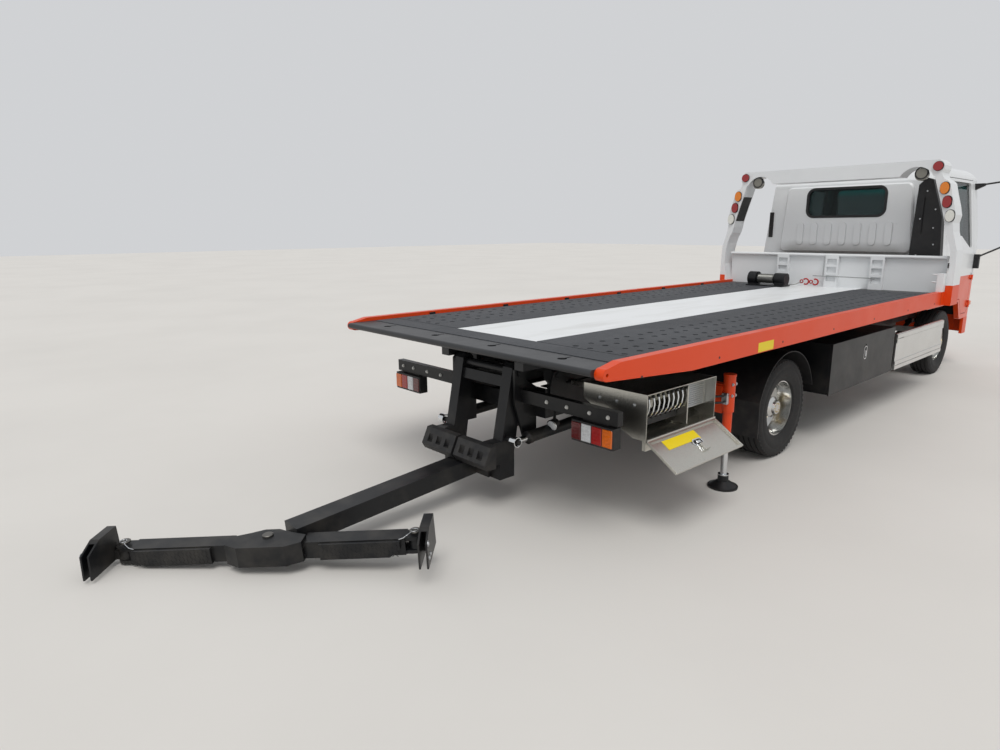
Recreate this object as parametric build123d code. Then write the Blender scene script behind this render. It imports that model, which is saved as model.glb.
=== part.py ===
from build123d import *
import os
from math import atan2, cos, degrees, hypot, radians, sin, sqrt

# A flatbed tow truck: cab-over chassis, slide and tilt bed, light arch and wheel lift.
# Sizes are in millimetres. While it is modelled, X runs forward from the rear axle,
# Y to the left and Z up from the ground. The last section moves it to its own origin.

# Whole vehicle
WHEELBASE = 4475
FRONT_OVERHANG = 1110
FRONT_FACE = WHEELBASE + FRONT_OVERHANG
CLEARANCE = 6
FIT = 0.3
SLIDE_FIT = 0.5

# Wheels and tyres
TYRE_RADIUS = 398.5
TYRE_WIDTH = 235
BEAD_RADIUS = 222.5
RIM_RADIUS = 222
RIM_FLANGE_RADIUS = 236
RIM_WIDTH = 171
RIM_WALL = 8
FRONT_TRACK = 1700
REAR_OUTER_TRACK = 1912
TWIN_SPACING = 262
TWIN_INNER = REAR_OUTER_TRACK / 2 - TWIN_SPACING - TYRE_WIDTH / 2
HUB_BORE = 34
HUB_RADIUS = 84
HAND_HOLE = 15
HAND_HOLES = 10
FRONT_DISC = 60
REAR_DISC = -70

# Ladder frame
FRAME_HALF_WIDTH = 425
RAIL_TOP = 800
RAIL_HEIGHT = 210
RAIL_BOTTOM = RAIL_TOP - RAIL_HEIGHT
RAIL_FLANGE = 65
RAIL_WALL = 7
WEB_INNER = FRAME_HALF_WIDTH - RAIL_WALL
FRAME_REAR = -2040
FRAME_FRONT = FRONT_FACE - 205
CROSSMEMBER = 90
REAR_CROSSMEMBERS = (-1150, -700, 720)
MIDDLE_CROSSMEMBERS = 4

# Engine and driveline
ENGINE_FRONT = WHEELBASE + 655
GEARBOX_FRONT = ENGINE_FRONT - 930
GEARBOX_REAR = GEARBOX_FRONT - 560
SHAFT_Z = RAIL_TOP - 240
PROPSHAFT_RADIUS = 42

# Springs and axles
SPRING_Y = FRAME_HALF_WIDTH
SPRING_EYE_Z = RAIL_BOTTOM - 30
SPRING_WIDTH = 60
SPRING_PIN = 14
SPRING_LEAF = 13
REAR_SPRING_HALF = 640
FRONT_SPRING_HALF = 610
FRONT_LEAVES = 4
REAR_LEAVES = 5
SPRING_SEATS = ((0, REAR_SPRING_HALF), (WHEELBASE, FRONT_SPRING_HALF))
HANGER_PLATE = 8
AXLE_BEAM_Z = TYRE_RADIUS - 88.5
AXLE_BEAM_HALF = 45
FRONT_SEAT_Z = TYRE_RADIUS - 26.5
REAR_SEAT_Z = TYRE_RADIUS + 63.5
AXLE_TUBE_RADIUS = 52
DIFFERENTIAL_RADIUS = 165

# Steering
KINGPIN_TRACK = 1400
KINGPIN_RADIUS = 16
FIST_HEIGHT = 90
FIST_RADIUS = 40
SPINDLE_REACH = 100

# Slide bed
BED_REAR = -2560
CAB_REAR = WHEELBASE - 835
BED_FRONT = CAB_REAR - 375
BED_HALF_WIDTH = 1276.6
TILT_BEAM_BOTTOM = RAIL_TOP + 8
TILT_BEAM_HEIGHT = 127
RUNNER_BOTTOM = TILT_BEAM_BOTTOM + TILT_BEAM_HEIGHT
RUNNER_HEIGHT = 163
RUNNER_WIDTH = 80
RUNNER_CENTRE = FRAME_HALF_WIDTH - 45
DECK_PLATE = 12
PLATE_BOTTOM = RUNNER_BOTTOM + RUNNER_HEIGHT
DECK_TOP = PLATE_BOTTOM + DECK_PLATE
BEARER_HEIGHT = 46
BEARER_WIDTH = 50
BEARERS = 12
SIDE_RAIL_TOP = DECK_TOP + 28
SIDE_RAIL_BOTTOM = DECK_TOP - 118
SIDE_RAIL_WIDTH = 60
DECK_HALF_WIDTH = BED_HALF_WIDTH - SIDE_RAIL_WIDTH
TAIL_SLOPE = 300
TAIL_EDGE = 20
KEYHOLE_X = BED_REAR + 130
KEYHOLE_RADIUS = 28
KEYHOLE_SLOT = 14
KEYHOLE_LENGTH = 75
KEYHOLE_PLACES = (-904, -316, 266, 856)
RAIL_TIP_X = BED_REAR + 64
RAIL_TIP_Z = DECK_TOP - 28
RAIL_TIP_RADIUS = 34
RAIL_TIP_HOLE = 10
SHOE_WIDTH = 70
SHOE_TOP = SIDE_RAIL_TOP + 65
STRIP_HALF_WIDTH = 410
MAT_THICKNESS = 4
MAT_MARGIN = 30
LANE_FRONT = BED_FRONT - 235
HOLE_RADIUS = 19
HOLE_START = BED_REAR + 474
HOLE_PITCH = 256
HOLE_STEP = 146
HOLE_COLUMNS = (DECK_HALF_WIDTH - 517, DECK_HALF_WIDTH - 402, DECK_HALF_WIDTH - 254, DECK_HALF_WIDTH - 146)

# Tilt frame and its cylinders
TILT_PIVOT_X = -1960
TILT_PIVOT_Z = RAIL_TOP + 68
TILT_PIN_RADIUS = 20
TILT_FRONT = BED_FRONT - 185
TILT_BEAM_WIDTH = 70
TILT_BEAM_Y = (RUNNER_CENTRE - TILT_BEAM_WIDTH / 2, RUNNER_CENTRE + TILT_BEAM_WIDTH / 2)
TILT_BASE_X = -560
TILT_BASE_Z = RAIL_BOTTOM + 65
TILT_LIFT_X = 550
TILT_EYE_Z = RAIL_TOP + 50
TILT_CYLINDER_Y = RUNNER_CENTRE - 130
TILT_BARREL = 52
TILT_ROD = 30
TILT_EYE = 44
TILT_EYE_HALF = 34
EYE_PIN = 16
EYE_PLAY = 12
BARREL_WALL = 8
GLAND_LENGTH = 30
GLAND_LIP = 4

# Headboard and light arch
HEADBOARD_TOP = DECK_TOP + 395
HEADBOARD_HALF_WIDTH = BED_HALF_WIDTH - 32.5
HEADBOARD_PLATE = 8
HEADBOARD_LIP = 17
POST_WIDTH = 150
POST_DEPTH = 45
POST_PLACES = (-565, -65, 530)
POCKET_WIDTH = 110
POCKET_HEIGHT = 70
POCKET_DEPTH = 28
POCKET_PLACES = (DECK_TOP + 105, DECK_TOP + 205, DECK_TOP + 300)
STUB_X = BED_FRONT - 165
STUB_HALF = 40
STUB_WALL = 6
STUB_HEIGHT = 192
ARCH_TOP = 2500
ARCH_UNDERSIDE = ARCH_TOP - 157
ARCH_DEPTH = 240
ARCH_REAR = BED_FRONT - 110
RECESS_Y = -404
RECESS_Z = -242
RECESS_RADIUS = 180
LAMP_DEPTH = 22
OVAL_LAMP = (41, 60)
OVAL_PLACES = ((-121, -292), (-84, -433), (-42, -577))
ROUND_LAMP = 46
ROUND_PLACE = (-206, -67)
WORK_LIGHT = 64
WORK_PLACE = (-362, -143)

# Winch
WINCH_X = BED_FRONT - 365
WINCH_Y = 560
WINCH_Z = DECK_TOP + 90
WINCH_SHAFT = 16
WINCH_BASE = 12
DRUM_RADIUS = 45
DRUM_FLANGE = 70
DRUM_CHEEK = 8
DRUM_HALF = 110

# Wheel lift
LIFT_PIVOT_X = TILT_PIVOT_X - 230
LIFT_PIVOT_Z = RAIL_TOP + 105
LIFT_PIN = 28
LIFT_RAISE = 20
POST_Y = (FRAME_HALF_WIDTH - 220, FRAME_HALF_WIDTH - 130)
CHEEK_Y = POST_Y[1] + 7
CHEEK_PLATE = 20
BOOM_FOOT_X = -2350
BOOM_FOOT_TOP = 308.4
BOOM_SLOPE = 4.66
BOOM_HALF_WIDTH = 77
BOOM_HEIGHT = 112
BOOM_WALL = 9
OUTER_BOOM_LENGTH = 1323
PAD_X = BOOM_FOOT_X - 70
PAD_BOTTOM = BOOM_FOOT_TOP - 2
PAD_TOP = BOOM_FOOT_TOP + 152
PAD_POCKETS = (80, 172, 264)
PAD_POCKET_HALF = 26
LIFT_CYLINDER_Y = FRAME_HALF_WIDTH - 47
LIFT_BASE_X = -1420
LIFT_BASE_Z = RAIL_BOTTOM - 85
LIFT_EYE_X = BOOM_FOOT_X + 60
LIFT_EYE_Z = 470
LIFT_BARREL = 40
LIFT_ROD = 22
LIFT_EYE = 34
LIFT_EYE_HALF = 26

# Crossbar and fork holders
CROSSBAR_PIVOT_REACH = OUTER_BOOM_LENGTH + 133
CROSSBAR_SWIVEL = 45.2
CROSSBAR_TOP = -31
CROSSBAR_HEIGHT = 97
CROSSBAR_HALF_WIDTH = 55
CROSSBAR_HALF_LENGTH = 765
NECK = 34
SWIVEL_PIN = 26
HUB_LENGTH = 212
HUB_REAR = 127
HUB_COVER = 20
HUB_WEB = 75
STEP_DEPTH = 22
STEP_REACH = (300, 740)
EAR_PLATE = 20
EAR_RADIUS = 45
FORK_PIN = CROSSBAR_HALF_LENGTH + 50
FORK_PIN_RADIUS = 14
FORK_BOSS = 40
FORK_FACE = FORK_PIN + 51
FORK_WIDTH = 52
FORK_WALL = 10
FORK_LENGTH = 270
FORK_TOP = 70

# Cab
CAB_HALF_WIDTH = 1000
CAB_ROOF = 2515
CAB_ROOF_ROUND = 150
CAB_CORNER = 150
CAB_ROOF_HALF_WIDTH = CAB_HALF_WIDTH - 118
CAB_WALL = 50
CAB_BOTTOM = 640
CAB_BELT = 1480
CAB_SILL = 875
CAB_FLOOR = CAB_SILL + 115
FLOOR_PLATE = 25
FLOOR_HALF = CAB_HALF_WIDTH - 55
SIDE_LEAN = (CAB_HALF_WIDTH - CAB_ROOF_HALF_WIDTH) / (CAB_ROOF - CAB_BELT)
NOSE = FRONT_FACE - 25
ROOF_FRONT = FRONT_FACE - 165
SCREEN_FOOT = CAB_BELT - 60
SCREEN_HEAD = CAB_ROOF - 100
STEP_REAR = FRONT_FACE - 685
STEP_SLOPE = 150
BUMPER_HEIGHT = 210
CAB_PIVOT_X = FRONT_FACE - 255
CAB_PIVOT_Z = RAIL_BOTTOM - 30
CAB_PIN = 20
LUG_Y = FRAME_HALF_WIDTH + 20
LUG_PLATE = 20

# Doors, windows and mirrors
DOOR_REAR = WHEELBASE - 325
DOOR_FRONT = FRONT_FACE - 255
DOOR_TOP = CAB_ROOF - 130
DOOR_OUTLINE = [
    (DOOR_REAR, CAB_SILL + 30), (STEP_REAR + 40, CAB_SILL + 30), (STEP_REAR + 190, CAB_BOTTOM + 60),
    (DOOR_FRONT, CAB_BOTTOM + 60), (DOOR_FRONT, CAB_BELT + 20), (DOOR_FRONT - 60, DOOR_TOP),
    (DOOR_REAR, DOOR_TOP)]
WINDOW_OUTLINE = [
    (DOOR_REAR + 110, CAB_BELT + 220), (DOOR_FRONT - 560, CAB_BELT + 220), (DOOR_FRONT - 90, CAB_BELT + 25),
    (DOOR_FRONT - 170, DOOR_TOP - 40), (DOOR_REAR + 110, DOOR_TOP - 40)]
GLASS = 6
GLASS_SETBACK = 20
REAR_WINDOW = (900, 330)
REAR_WINDOW_Z = 2110
BULGE_HALF_WIDTH = 780
BULGE_BOTTOM = CAB_BELT + 30
BULGE_TOP = CAB_ROOF - 205
BULGE_DEPTH = 34
RIBS = 7
RIB_PITCH = 172
RIB_WIDTH = 80
RIB_DEPTH = 12
RIB_BOTTOM = BULGE_BOTTOM + 90
RIB_TOP = BULGE_BOTTOM + 362
DUCT_X = CAB_REAR - 140
DUCT_DEPTH = 100
HINGE_X = DOOR_FRONT + 4
HINGE_Y = CAB_HALF_WIDTH + 14
HINGE_RADIUS = 12
HINGE_PIN = 6
HINGE_LEAF = 8
HINGE_PLACES = (CAB_BOTTOM + 180, CAB_BELT - 300)
MIRROR_ARM = 11
MIRROR_X = FRONT_FACE - 50
MIRROR_Y = CAB_HALF_WIDTH + 400
MIRROR_Z = (1660, 2330)
MIRROR_SPLIT = 2160
MIRROR_FOOT = 60
MIRROR_FOOT_X = (DOOR_FRONT + 15, DOOR_FRONT + 70)
MIRROR_LOW_FOOT = (CAB_BELT - 200, CAB_BELT - 20)
MIRROR_HIGH_FOOT = (CAB_ROOF - 245, CAB_ROOF - 165)

# Cab interior
SEAT_Y = 480
STEER_FOOT = (FRONT_FACE - 335, 1250)
STEER_END = (FRONT_FACE - 535, 1420)
STEER_LEAN = degrees(atan2(STEER_FOOT[0] - STEER_END[0], STEER_END[1] - STEER_FOOT[1]))
STEER_HUB_HALF = 15
STEER_RADIUS = 215
STEER_GRIP = 15

# Tank, toolboxes, guards and mudguards
TANK_X = (1500, 2250)
TANK_HALF = 210
TANK_BOTTOM = 400
TOOLBOX_WALL = 3
SIDE_BOX_X = (600, 2080)
SIDE_BOX_Y = (-1180, -640)
SIDE_BOX_Z = (425, 860)
SIDE_DOOR = 22
SIDE_LATCH_Z = 730
SIDE_HINGE_RADIUS = 6
SIDE_HINGE = (SIDE_BOX_Y[0] + SIDE_HINGE_RADIUS + 1, SIDE_BOX_Z[0] - 3)
GUARD_X = (2150, CAB_REAR + 10)
GUARD_Y = 1190
GUARD_Z = (420, 780)
REAR_BOX_X = (-2000, -1250)
REAR_BOX_Y = (-1180, -700)
REAR_BOX_Z = (535, 875)
REAR_BOX_WALL = 4
REAR_BOX_RIM = 25
REAR_BOX_STEP = REAR_BOX_Y[0] + 94
REAR_BOX_SLOPE = 0.466
REAR_LID_Z = REAR_BOX_Z[0] + 65
REAR_LID_LENGTH = 255
REAR_LID = 16
REAR_LID_SKIN = 3
REAR_LID_RIM = 14
REAR_LID_ANGLE = 33
REAR_HINGE = 6
LEVERS = 8
LEVER_PITCH = 44
FENDER_RADIUS = TYRE_RADIUS + 71.5
FENDER_SKIN = 6
FENDER_CUT = 130

# Tail frame, lamps and stabiliser legs
TAIL_BEAM_X = TILT_PIVOT_X - 220
TAIL_BEAM_Z = (705, 790)
LAMP_X = TAIL_BEAM_X - 30
LAMP_Y = (783, 1104)
LAMP_Z = (566, 695)
LEG_X = -925
LEG_Y = 1100
LEG_TUBE = 41
LEG_SLEEVE = 32
LEG_BOTTOM = 392
LEG_STEP = 560
LEG_TOP = 814
LEG_CAP = 14
LEG_ROD = 23
LEG_GUIDE = LEG_ROD + 4
LEG_STROKE = 280
FOOT_RADIUS = 105
FOOT_PLATE = 14
FOOT_BELL = 36
FOOT_COLLAR = 38
FOOT_TOP = 100


def block(x_one, x_two, y_one, y_two, z_one, z_two):
    """A box between two opposite corners."""
    centre = ((x_one + x_two) / 2, (y_one + y_two) / 2, (z_one + z_two) / 2)
    return Pos(*centre) * Box(abs(x_two - x_one), abs(y_two - y_one), abs(z_two - z_one))


def side_form(points, y_low, y_high, round_by=0):
    """An outline in X and Z, carried across from y_low to y_high."""
    face = Polygon(*points, align=None)
    if round_by:
        face = fillet(face.vertices(), round_by)
    return Pos(0, y_low, 0) * extrude(Plane.XZ * face, amount=y_high - y_low, dir=(0, 1, 0))


def end_form(points, x_low, x_high, round_by=0):
    """An outline in Y and Z, carried along from x_low to x_high."""
    face = Polygon(*points, align=None)
    if round_by:
        face = fillet(face.vertices(), round_by)
    return Pos(x_low, 0, 0) * extrude(Plane.YZ * face, amount=x_high - x_low, dir=(1, 0, 0))


def plan_form(points, z_low, z_high, round_by=0):
    """An outline in X and Y, carried up from z_low to z_high."""
    face = Polygon(*points, align=None)
    if round_by:
        face = fillet(face.vertices(), round_by)
    return Pos(0, 0, z_low) * extrude(face, amount=z_high - z_low, dir=(0, 0, 1))


def bar(start, end, radius):
    """A round bar between two points."""
    run = Vector(*end) - Vector(*start)
    return Plane(origin=start, z_dir=run) * Pos(0, 0, run.length / 2) * Cylinder(radius, run.length)


def pipe(start, end, radius, bore):
    """A round tube between two points."""
    run = Vector(*end) - Vector(*start)
    section = Cylinder(radius, run.length) - Cylinder(bore, 2 * run.length)
    return Plane(origin=start, z_dir=run) * Pos(0, 0, run.length / 2) * section


def cross_bar(x, z, y_low, y_high, radius):
    """A round bar that lies across the truck."""
    return bar((x, y_low, z), (x, y_high, z), radius)


def post(x, y, z_low, z_high, radius):
    """A round bar that stands upright."""
    return bar((x, y, z_low), (x, y, z_high), radius)


def both_sides(shape):
    """A piece and its mirror image on the other side of the truck."""
    return [shape, mirror(shape, about=Plane.XZ)]


def joined_sides(shape):
    """A piece fused with its mirror image."""
    return shape + mirror(shape, about=Plane.XZ)


def flip(shape, side):
    """The left-hand piece for side 1, its mirror image for side -1."""
    return shape if side > 0 else mirror(shape, about=Plane.XZ)


def round_profile(points):
    """A body turned about the Y axis from an outline in radius and Y."""
    return revolve(Polygon(*points, align=None), axis=Axis.Y)


# Ladder frame

def make_chassis_frame():
    """Two channel rails, open inwards, with pressed crossmembers and everything hung on them."""
    outer, flange = FRAME_HALF_WIDTH, FRAME_HALF_WIDTH - RAIL_FLANGE
    channel = [
        (outer, RAIL_BOTTOM), (outer, RAIL_TOP), (flange, RAIL_TOP), (flange, RAIL_TOP - RAIL_WALL),
        (WEB_INNER, RAIL_TOP - RAIL_WALL), (WEB_INNER, RAIL_BOTTOM + RAIL_WALL),
        (flange, RAIL_BOTTOM + RAIL_WALL), (flange, RAIL_BOTTOM)]
    frame = joined_sides(end_form(channel, FRAME_REAR, FRAME_FRONT))
    for x in crossmember_places():
        frame += crossmember(x)
    for x, half_length in SPRING_SEATS:
        for end in (-1, 1):
            frame += joined_sides(spring_hanger(x + end * half_length))
    for extra in (tilt_hinge(), tilt_base_pin(), lift_base_pin(), cab_pivot_bracket()):
        frame += joined_sides(extra)
    return frame


def crossmember_places():
    """The crossmembers: some set from the rear axle, a row up to the gearbox, one at the front."""
    start, stop = REAR_CROSSMEMBERS[-1], GEARBOX_REAR - CROSSMEMBER
    pitch = (stop - start) / MIDDLE_CROSSMEMBERS
    middle = [start + pitch * place for place in range(1, MIDDLE_CROSSMEMBERS + 1)]
    return [*REAR_CROSSMEMBERS, *middle, FRAME_FRONT - 150]


def crossmember(x):
    """A channel across the frame, its ends closed where they meet the rails."""
    low, high = RAIL_BOTTOM + 40, RAIL_TOP - 40
    solid = block(x - CROSSMEMBER / 2, x + CROSSMEMBER / 2, -WEB_INNER, WEB_INNER, low, high)
    return solid - block(x - CROSSMEMBER, x + CROSSMEMBER / 2 - RAIL_WALL, 60 - WEB_INNER, WEB_INNER - 60,
                         low + RAIL_WALL, high - RAIL_WALL)


def spring_hanger(eye):
    """A saddle under the rail with two cheeks and the pin for a spring's eye."""
    half = SPRING_WIDTH / 2 + CLEARANCE
    outside = half + HANGER_PLATE
    hanger = block(eye - 45, eye + 45, SPRING_Y - outside, SPRING_Y + outside, RAIL_BOTTOM - 2,
                   RAIL_BOTTOM + HANGER_PLATE)
    cheek = [(eye - 45, RAIL_BOTTOM), (eye + 45, RAIL_BOTTOM), (eye + 22, SPRING_EYE_Z - 22),
             (eye - 22, SPRING_EYE_Z - 22)]
    for low in (SPRING_Y - outside, SPRING_Y + half):
        hanger += side_form(cheek, low, low + HANGER_PLATE)
    return hanger + cross_bar(eye, SPRING_EYE_Z, SPRING_Y - outside, SPRING_Y + outside, SPRING_PIN)


def tilt_hinge():
    """A cheek on the rail that holds the tilt frame's pin."""
    high = TILT_BEAM_Y[1] + CLEARANCE
    cheek = side_form(
        [(TILT_PIVOT_X - 70, RAIL_TOP), (TILT_PIVOT_X + 90, RAIL_TOP), (TILT_PIVOT_X + 36, TILT_PIVOT_Z + 30),
         (TILT_PIVOT_X - 36, TILT_PIVOT_Z + 30)], high, high + 18)
    pin = cross_bar(TILT_PIVOT_X, TILT_PIVOT_Z, TILT_BEAM_Y[0] - 20, high + 24, TILT_PIN_RADIUS)
    foot = block(TILT_PIVOT_X - 70, TILT_PIVOT_X + 90, WEB_INNER - 1, high + 18, RAIL_TOP - 60, RAIL_TOP + 1)
    return cheek + pin + foot


def tilt_base_pin():
    """The pin that carries a tilt cylinder's barrel, in a plate on the rail's web."""
    plate = side_form(
        [(TILT_BASE_X - 70, RAIL_TOP - RAIL_WALL), (TILT_BASE_X + 70, RAIL_TOP - RAIL_WALL),
         (TILT_BASE_X + 40, RAIL_BOTTOM + RAIL_WALL), (TILT_BASE_X - 40, RAIL_BOTTOM + RAIL_WALL)],
        WEB_INNER - 12, WEB_INNER + 1)
    return plate + cross_bar(TILT_BASE_X, TILT_BASE_Z, TILT_CYLINDER_Y - 60, WEB_INNER + 1, EYE_PIN)


def lift_base_pin():
    """A hanger on the rail's outer face that holds a lift cylinder's base pin."""
    hanger = side_form(
        [(LIFT_BASE_X - 60, RAIL_BOTTOM + 80), (LIFT_BASE_X + 60, RAIL_BOTTOM + 80),
         (LIFT_BASE_X + 30, LIFT_BASE_Z - 40), (LIFT_BASE_X - 30, LIFT_BASE_Z - 40)],
        FRAME_HALF_WIDTH, FRAME_HALF_WIDTH + 16)
    return hanger + cross_bar(LIFT_BASE_X, LIFT_BASE_Z, LIFT_CYLINDER_Y - 40, FRAME_HALF_WIDTH + 16, EYE_PIN)


def cab_pivot_bracket():
    """A bracket under the rail's front end that holds the cab's pivot pin."""
    bracket = side_form(
        [(CAB_PIVOT_X - 70, RAIL_BOTTOM + 1), (CAB_PIVOT_X + 45, RAIL_BOTTOM + 1),
         (CAB_PIVOT_X + 40, CAB_PIVOT_Z - 40), (CAB_PIVOT_X - 40, CAB_PIVOT_Z - 40)],
        FRAME_HALF_WIDTH - RAIL_FLANGE, FRAME_HALF_WIDTH)
    return bracket + cross_bar(CAB_PIVOT_X, CAB_PIVOT_Z, FRAME_HALF_WIDTH - RAIL_FLANGE,
                               LUG_Y + LUG_PLATE + CLEARANCE, CAB_PIN)


# Springs, axles and driveline

def leaf_spring(x, half_length, seat_z, leaves):
    """A pack of curved leaves, the main leaf rolled into an eye at each end."""
    low, high = SPRING_Y - SPRING_WIDTH / 2, SPRING_Y + SPRING_WIDTH / 2
    sag = SPRING_EYE_Z - seat_z - leaves * SPRING_LEAF
    spring = None
    for leaf in range(leaves):
        reach = half_length * (1 - leaf / (leaves + 1))
        top = SPRING_EYE_Z - leaf * SPRING_LEAF
        ends, middle = top - sag * (1 - (reach / half_length) ** 2), top - sag
        plate = leaf_plate(x, reach, ends, middle, low, high)
        spring = plate if spring is None else spring + plate
    eyes = (x - half_length, x + half_length)
    for eye in eyes:
        spring += cross_bar(eye, SPRING_EYE_Z, low, high, SPRING_PIN + SPRING_LEAF)
    for eye in eyes:
        spring -= cross_bar(eye, SPRING_EYE_Z, low - 1, high + 1, SPRING_PIN + FIT)
    return spring


def leaf_plate(x, reach, ends, middle, low, high):
    """One curved leaf: its top face passes through both ends and the middle height."""
    outline = (
        ThreePointArc((x - reach, ends), (x, middle), (x + reach, ends))
        + Line((x + reach, ends), (x + reach, ends - SPRING_LEAF))
        + ThreePointArc((x + reach, ends - SPRING_LEAF), (x, middle - SPRING_LEAF),
                        (x - reach, ends - SPRING_LEAF))
        + Line((x - reach, ends - SPRING_LEAF), (x - reach, ends)))
    return Pos(0, low, 0) * extrude(Plane.XZ * make_face(outline), amount=high - low, dir=(0, 1, 0))


def make_front_axle():
    """A dropped I-beam with raised fists for the kingpins, and its springs."""
    half = KINGPIN_TRACK / 2
    low, high = AXLE_BEAM_Z - AXLE_BEAM_HALF, AXLE_BEAM_Z + AXLE_BEAM_HALF
    end = half - FIST_RADIUS - 10
    beam = end_form(
        [(-end, low + 70), (80 - end, low), (end - 80, low), (end, low + 70), (end, high + 60), (end - 60, high),
         (60 - end, high), (-end, high + 60)], WHEELBASE - 40, WHEELBASE + 40)
    for side in (-1, 1):
        beam -= block(WHEELBASE + side * 12, WHEELBASE + side * 41, 160 - half, half - 160, low + 18, high - 18)
    for side in (-1, 1):
        beam += Pos(WHEELBASE, side * half, TYRE_RADIUS) * Cylinder(FIST_RADIUS, FIST_HEIGHT)
        beam += block(WHEELBASE - 30, WHEELBASE + 30, side * half, side * (end - 10), TYRE_RADIUS - 45,
                      TYRE_RADIUS + 20)
        beam += block(WHEELBASE - 60, WHEELBASE + 60, side * SPRING_Y - 40, side * SPRING_Y + 40, high - 1,
                      FRONT_SEAT_Z)
        beam += Pos(WHEELBASE, side * half, TYRE_RADIUS) * Cylinder(KINGPIN_RADIUS, FIST_HEIGHT + 96)
    return beam + joined_sides(leaf_spring(WHEELBASE, FRONT_SPRING_HALF, FRONT_SEAT_Z, FRONT_LEAVES))


def make_rear_axle():
    """The axle tube with its differential, springs and the propshaft to the gearbox."""
    spindle = REAR_OUTER_TRACK / 2 + 60
    tube_end = TWIN_INNER - 25
    tube, bowl = AXLE_TUBE_RADIUS, DIFFERENTIAL_RADIUS
    half = [(0, spindle), (HUB_BORE, spindle), (HUB_BORE, tube_end), (tube, tube_end), (tube, bowl + 60),
            (bowl * 0.55, bowl - 10), (bowl * 0.55, 0), (0, 0)]
    arm = Pos(0, 0, TYRE_RADIUS) * round_profile(half)
    axle = arm + mirror(arm, about=Plane.XZ)
    axle += Pos(0, 0, TYRE_RADIUS) * Rot(0, 90, 0) * Cylinder(bowl, 150)
    axle += Pos(-100, 0, TYRE_RADIUS) * Rot(0, -90, 0) * Cone(bowl - 20, bowl * 0.5, 52)
    axle += bar((60, 0, TYRE_RADIUS + 22), (240, 0, TYRE_RADIUS + 22), 70)
    axle += bar((200, 0, TYRE_RADIUS + 22), (GEARBOX_REAR - 60, 0, SHAFT_Z), PROPSHAFT_RADIUS)
    axle += bar((GEARBOX_REAR - 110, 0, SHAFT_Z), (GEARBOX_REAR - FIT, 0, SHAFT_Z), PROPSHAFT_RADIUS + 14)
    for side in (-1, 1):
        axle += block(-60, 60, side * SPRING_Y - 40, side * SPRING_Y + 40, TYRE_RADIUS, REAR_SEAT_Z)
    return axle + joined_sides(leaf_spring(0, REAR_SPRING_HALF, REAR_SEAT_Z, REAR_LEAVES))


def make_engine_block():
    """Engine and gearbox as one plain block on two feet that meet the rails."""
    engine = block(GEARBOX_FRONT, ENGINE_FRONT, -250, 250, SHAFT_Z - 120, SHAFT_Z + 380)
    gearbox = block(GEARBOX_REAR, GEARBOX_FRONT, -130, 130, SHAFT_Z - 90, SHAFT_Z + 160)
    feet = block(ENGINE_FRONT - 430, ENGINE_FRONT - 330, -WEB_INNER, WEB_INNER, RAIL_BOTTOM + 50,
                 RAIL_BOTTOM + 110)
    return engine + gearbox + feet


# Wheels

def make_tyre(y):
    """A tyre with a flat tread, round shoulders and a bead seat."""
    half, seat = TYRE_WIDTH / 2, RIM_WIDTH / 2 - 14
    points = [
        (BEAD_RADIUS, -seat), (BEAD_RADIUS + 16, -seat), (BEAD_RADIUS + 60, -half), (TYRE_RADIUS - 60, -half),
        (TYRE_RADIUS - 4, 26 - half), (TYRE_RADIUS, 60 - half), (TYRE_RADIUS, half - 60),
        (TYRE_RADIUS - 4, half - 26), (TYRE_RADIUS - 60, half), (BEAD_RADIUS + 60, half),
        (BEAD_RADIUS + 16, seat), (BEAD_RADIUS, seat)]
    return Pos(0, y, TYRE_RADIUS) * round_profile(points)


def rim_barrel():
    """The barrel of a rim, with a flange at each side."""
    half, lip = RIM_WIDTH / 2, 13
    inside = RIM_RADIUS - RIM_WALL
    return round_profile([
        (RIM_RADIUS, lip - half), (RIM_FLANGE_RADIUS, lip - half), (RIM_FLANGE_RADIUS, -half), (inside, -half),
        (inside, half), (RIM_FLANGE_RADIUS, half), (RIM_FLANGE_RADIUS, half - lip), (RIM_RADIUS, half - lip)])


def disc_wheel(face_y, hub_y):
    """A rim with a dished disc and ten hand holes; y is measured outwards."""
    edge = RIM_RADIUS - RIM_WALL + 1
    disc = round_profile([
        (edge, face_y - 6), (edge, face_y + 4), (165, hub_y + 12), (HUB_RADIUS, hub_y + 12), (HUB_RADIUS, hub_y),
        (160, hub_y)])
    hole = Rot(90, 0, 0) * Cylinder(HAND_HOLE, 400)
    for turn in range(HAND_HOLES):
        disc -= Rot(0, 360 * turn / HAND_HOLES, 0) * Pos(190, 0, 0) * hole
    return rim_barrel() + disc


def wheel_hub(y_low, y_high, bore_depth):
    """A turned hub with a bore for its spindle."""
    collar = HUB_RADIUS + 1
    hub = round_profile([(0, y_low), (collar, y_low), (collar, y_high - 40), (60, y_high - 20), (52, y_high),
                         (0, y_high)])
    return hub - Pos(0, y_low, 0) * Rot(-90, 0, 0) * Cylinder(HUB_BORE + FIT, 2 * bore_depth)


def make_front_wheel(side):
    """Front rim, its disc standing outwards, and the hub."""
    back = 40
    wheel = disc_wheel(FRONT_DISC - 40, FRONT_DISC) + wheel_hub(-back, FRONT_DISC + 70, SPINDLE_REACH + back + 2)
    return flip(Pos(WHEELBASE, FRONT_TRACK / 2, TYRE_RADIUS) * wheel, side)


def make_rear_wheels(side):
    """The twin rear rims, back to back on one hub."""
    outer = disc_wheel(REAR_DISC + 30, REAR_DISC)
    inner = Pos(0, -TWIN_SPACING, 0) * mirror(outer, about=Plane.XZ)
    hub = wheel_hub(-TWIN_SPACING - 20, 70, TWIN_SPACING + 86)
    return flip(Pos(0, REAR_OUTER_TRACK / 2, TYRE_RADIUS) * (outer + inner + hub), side)


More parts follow.
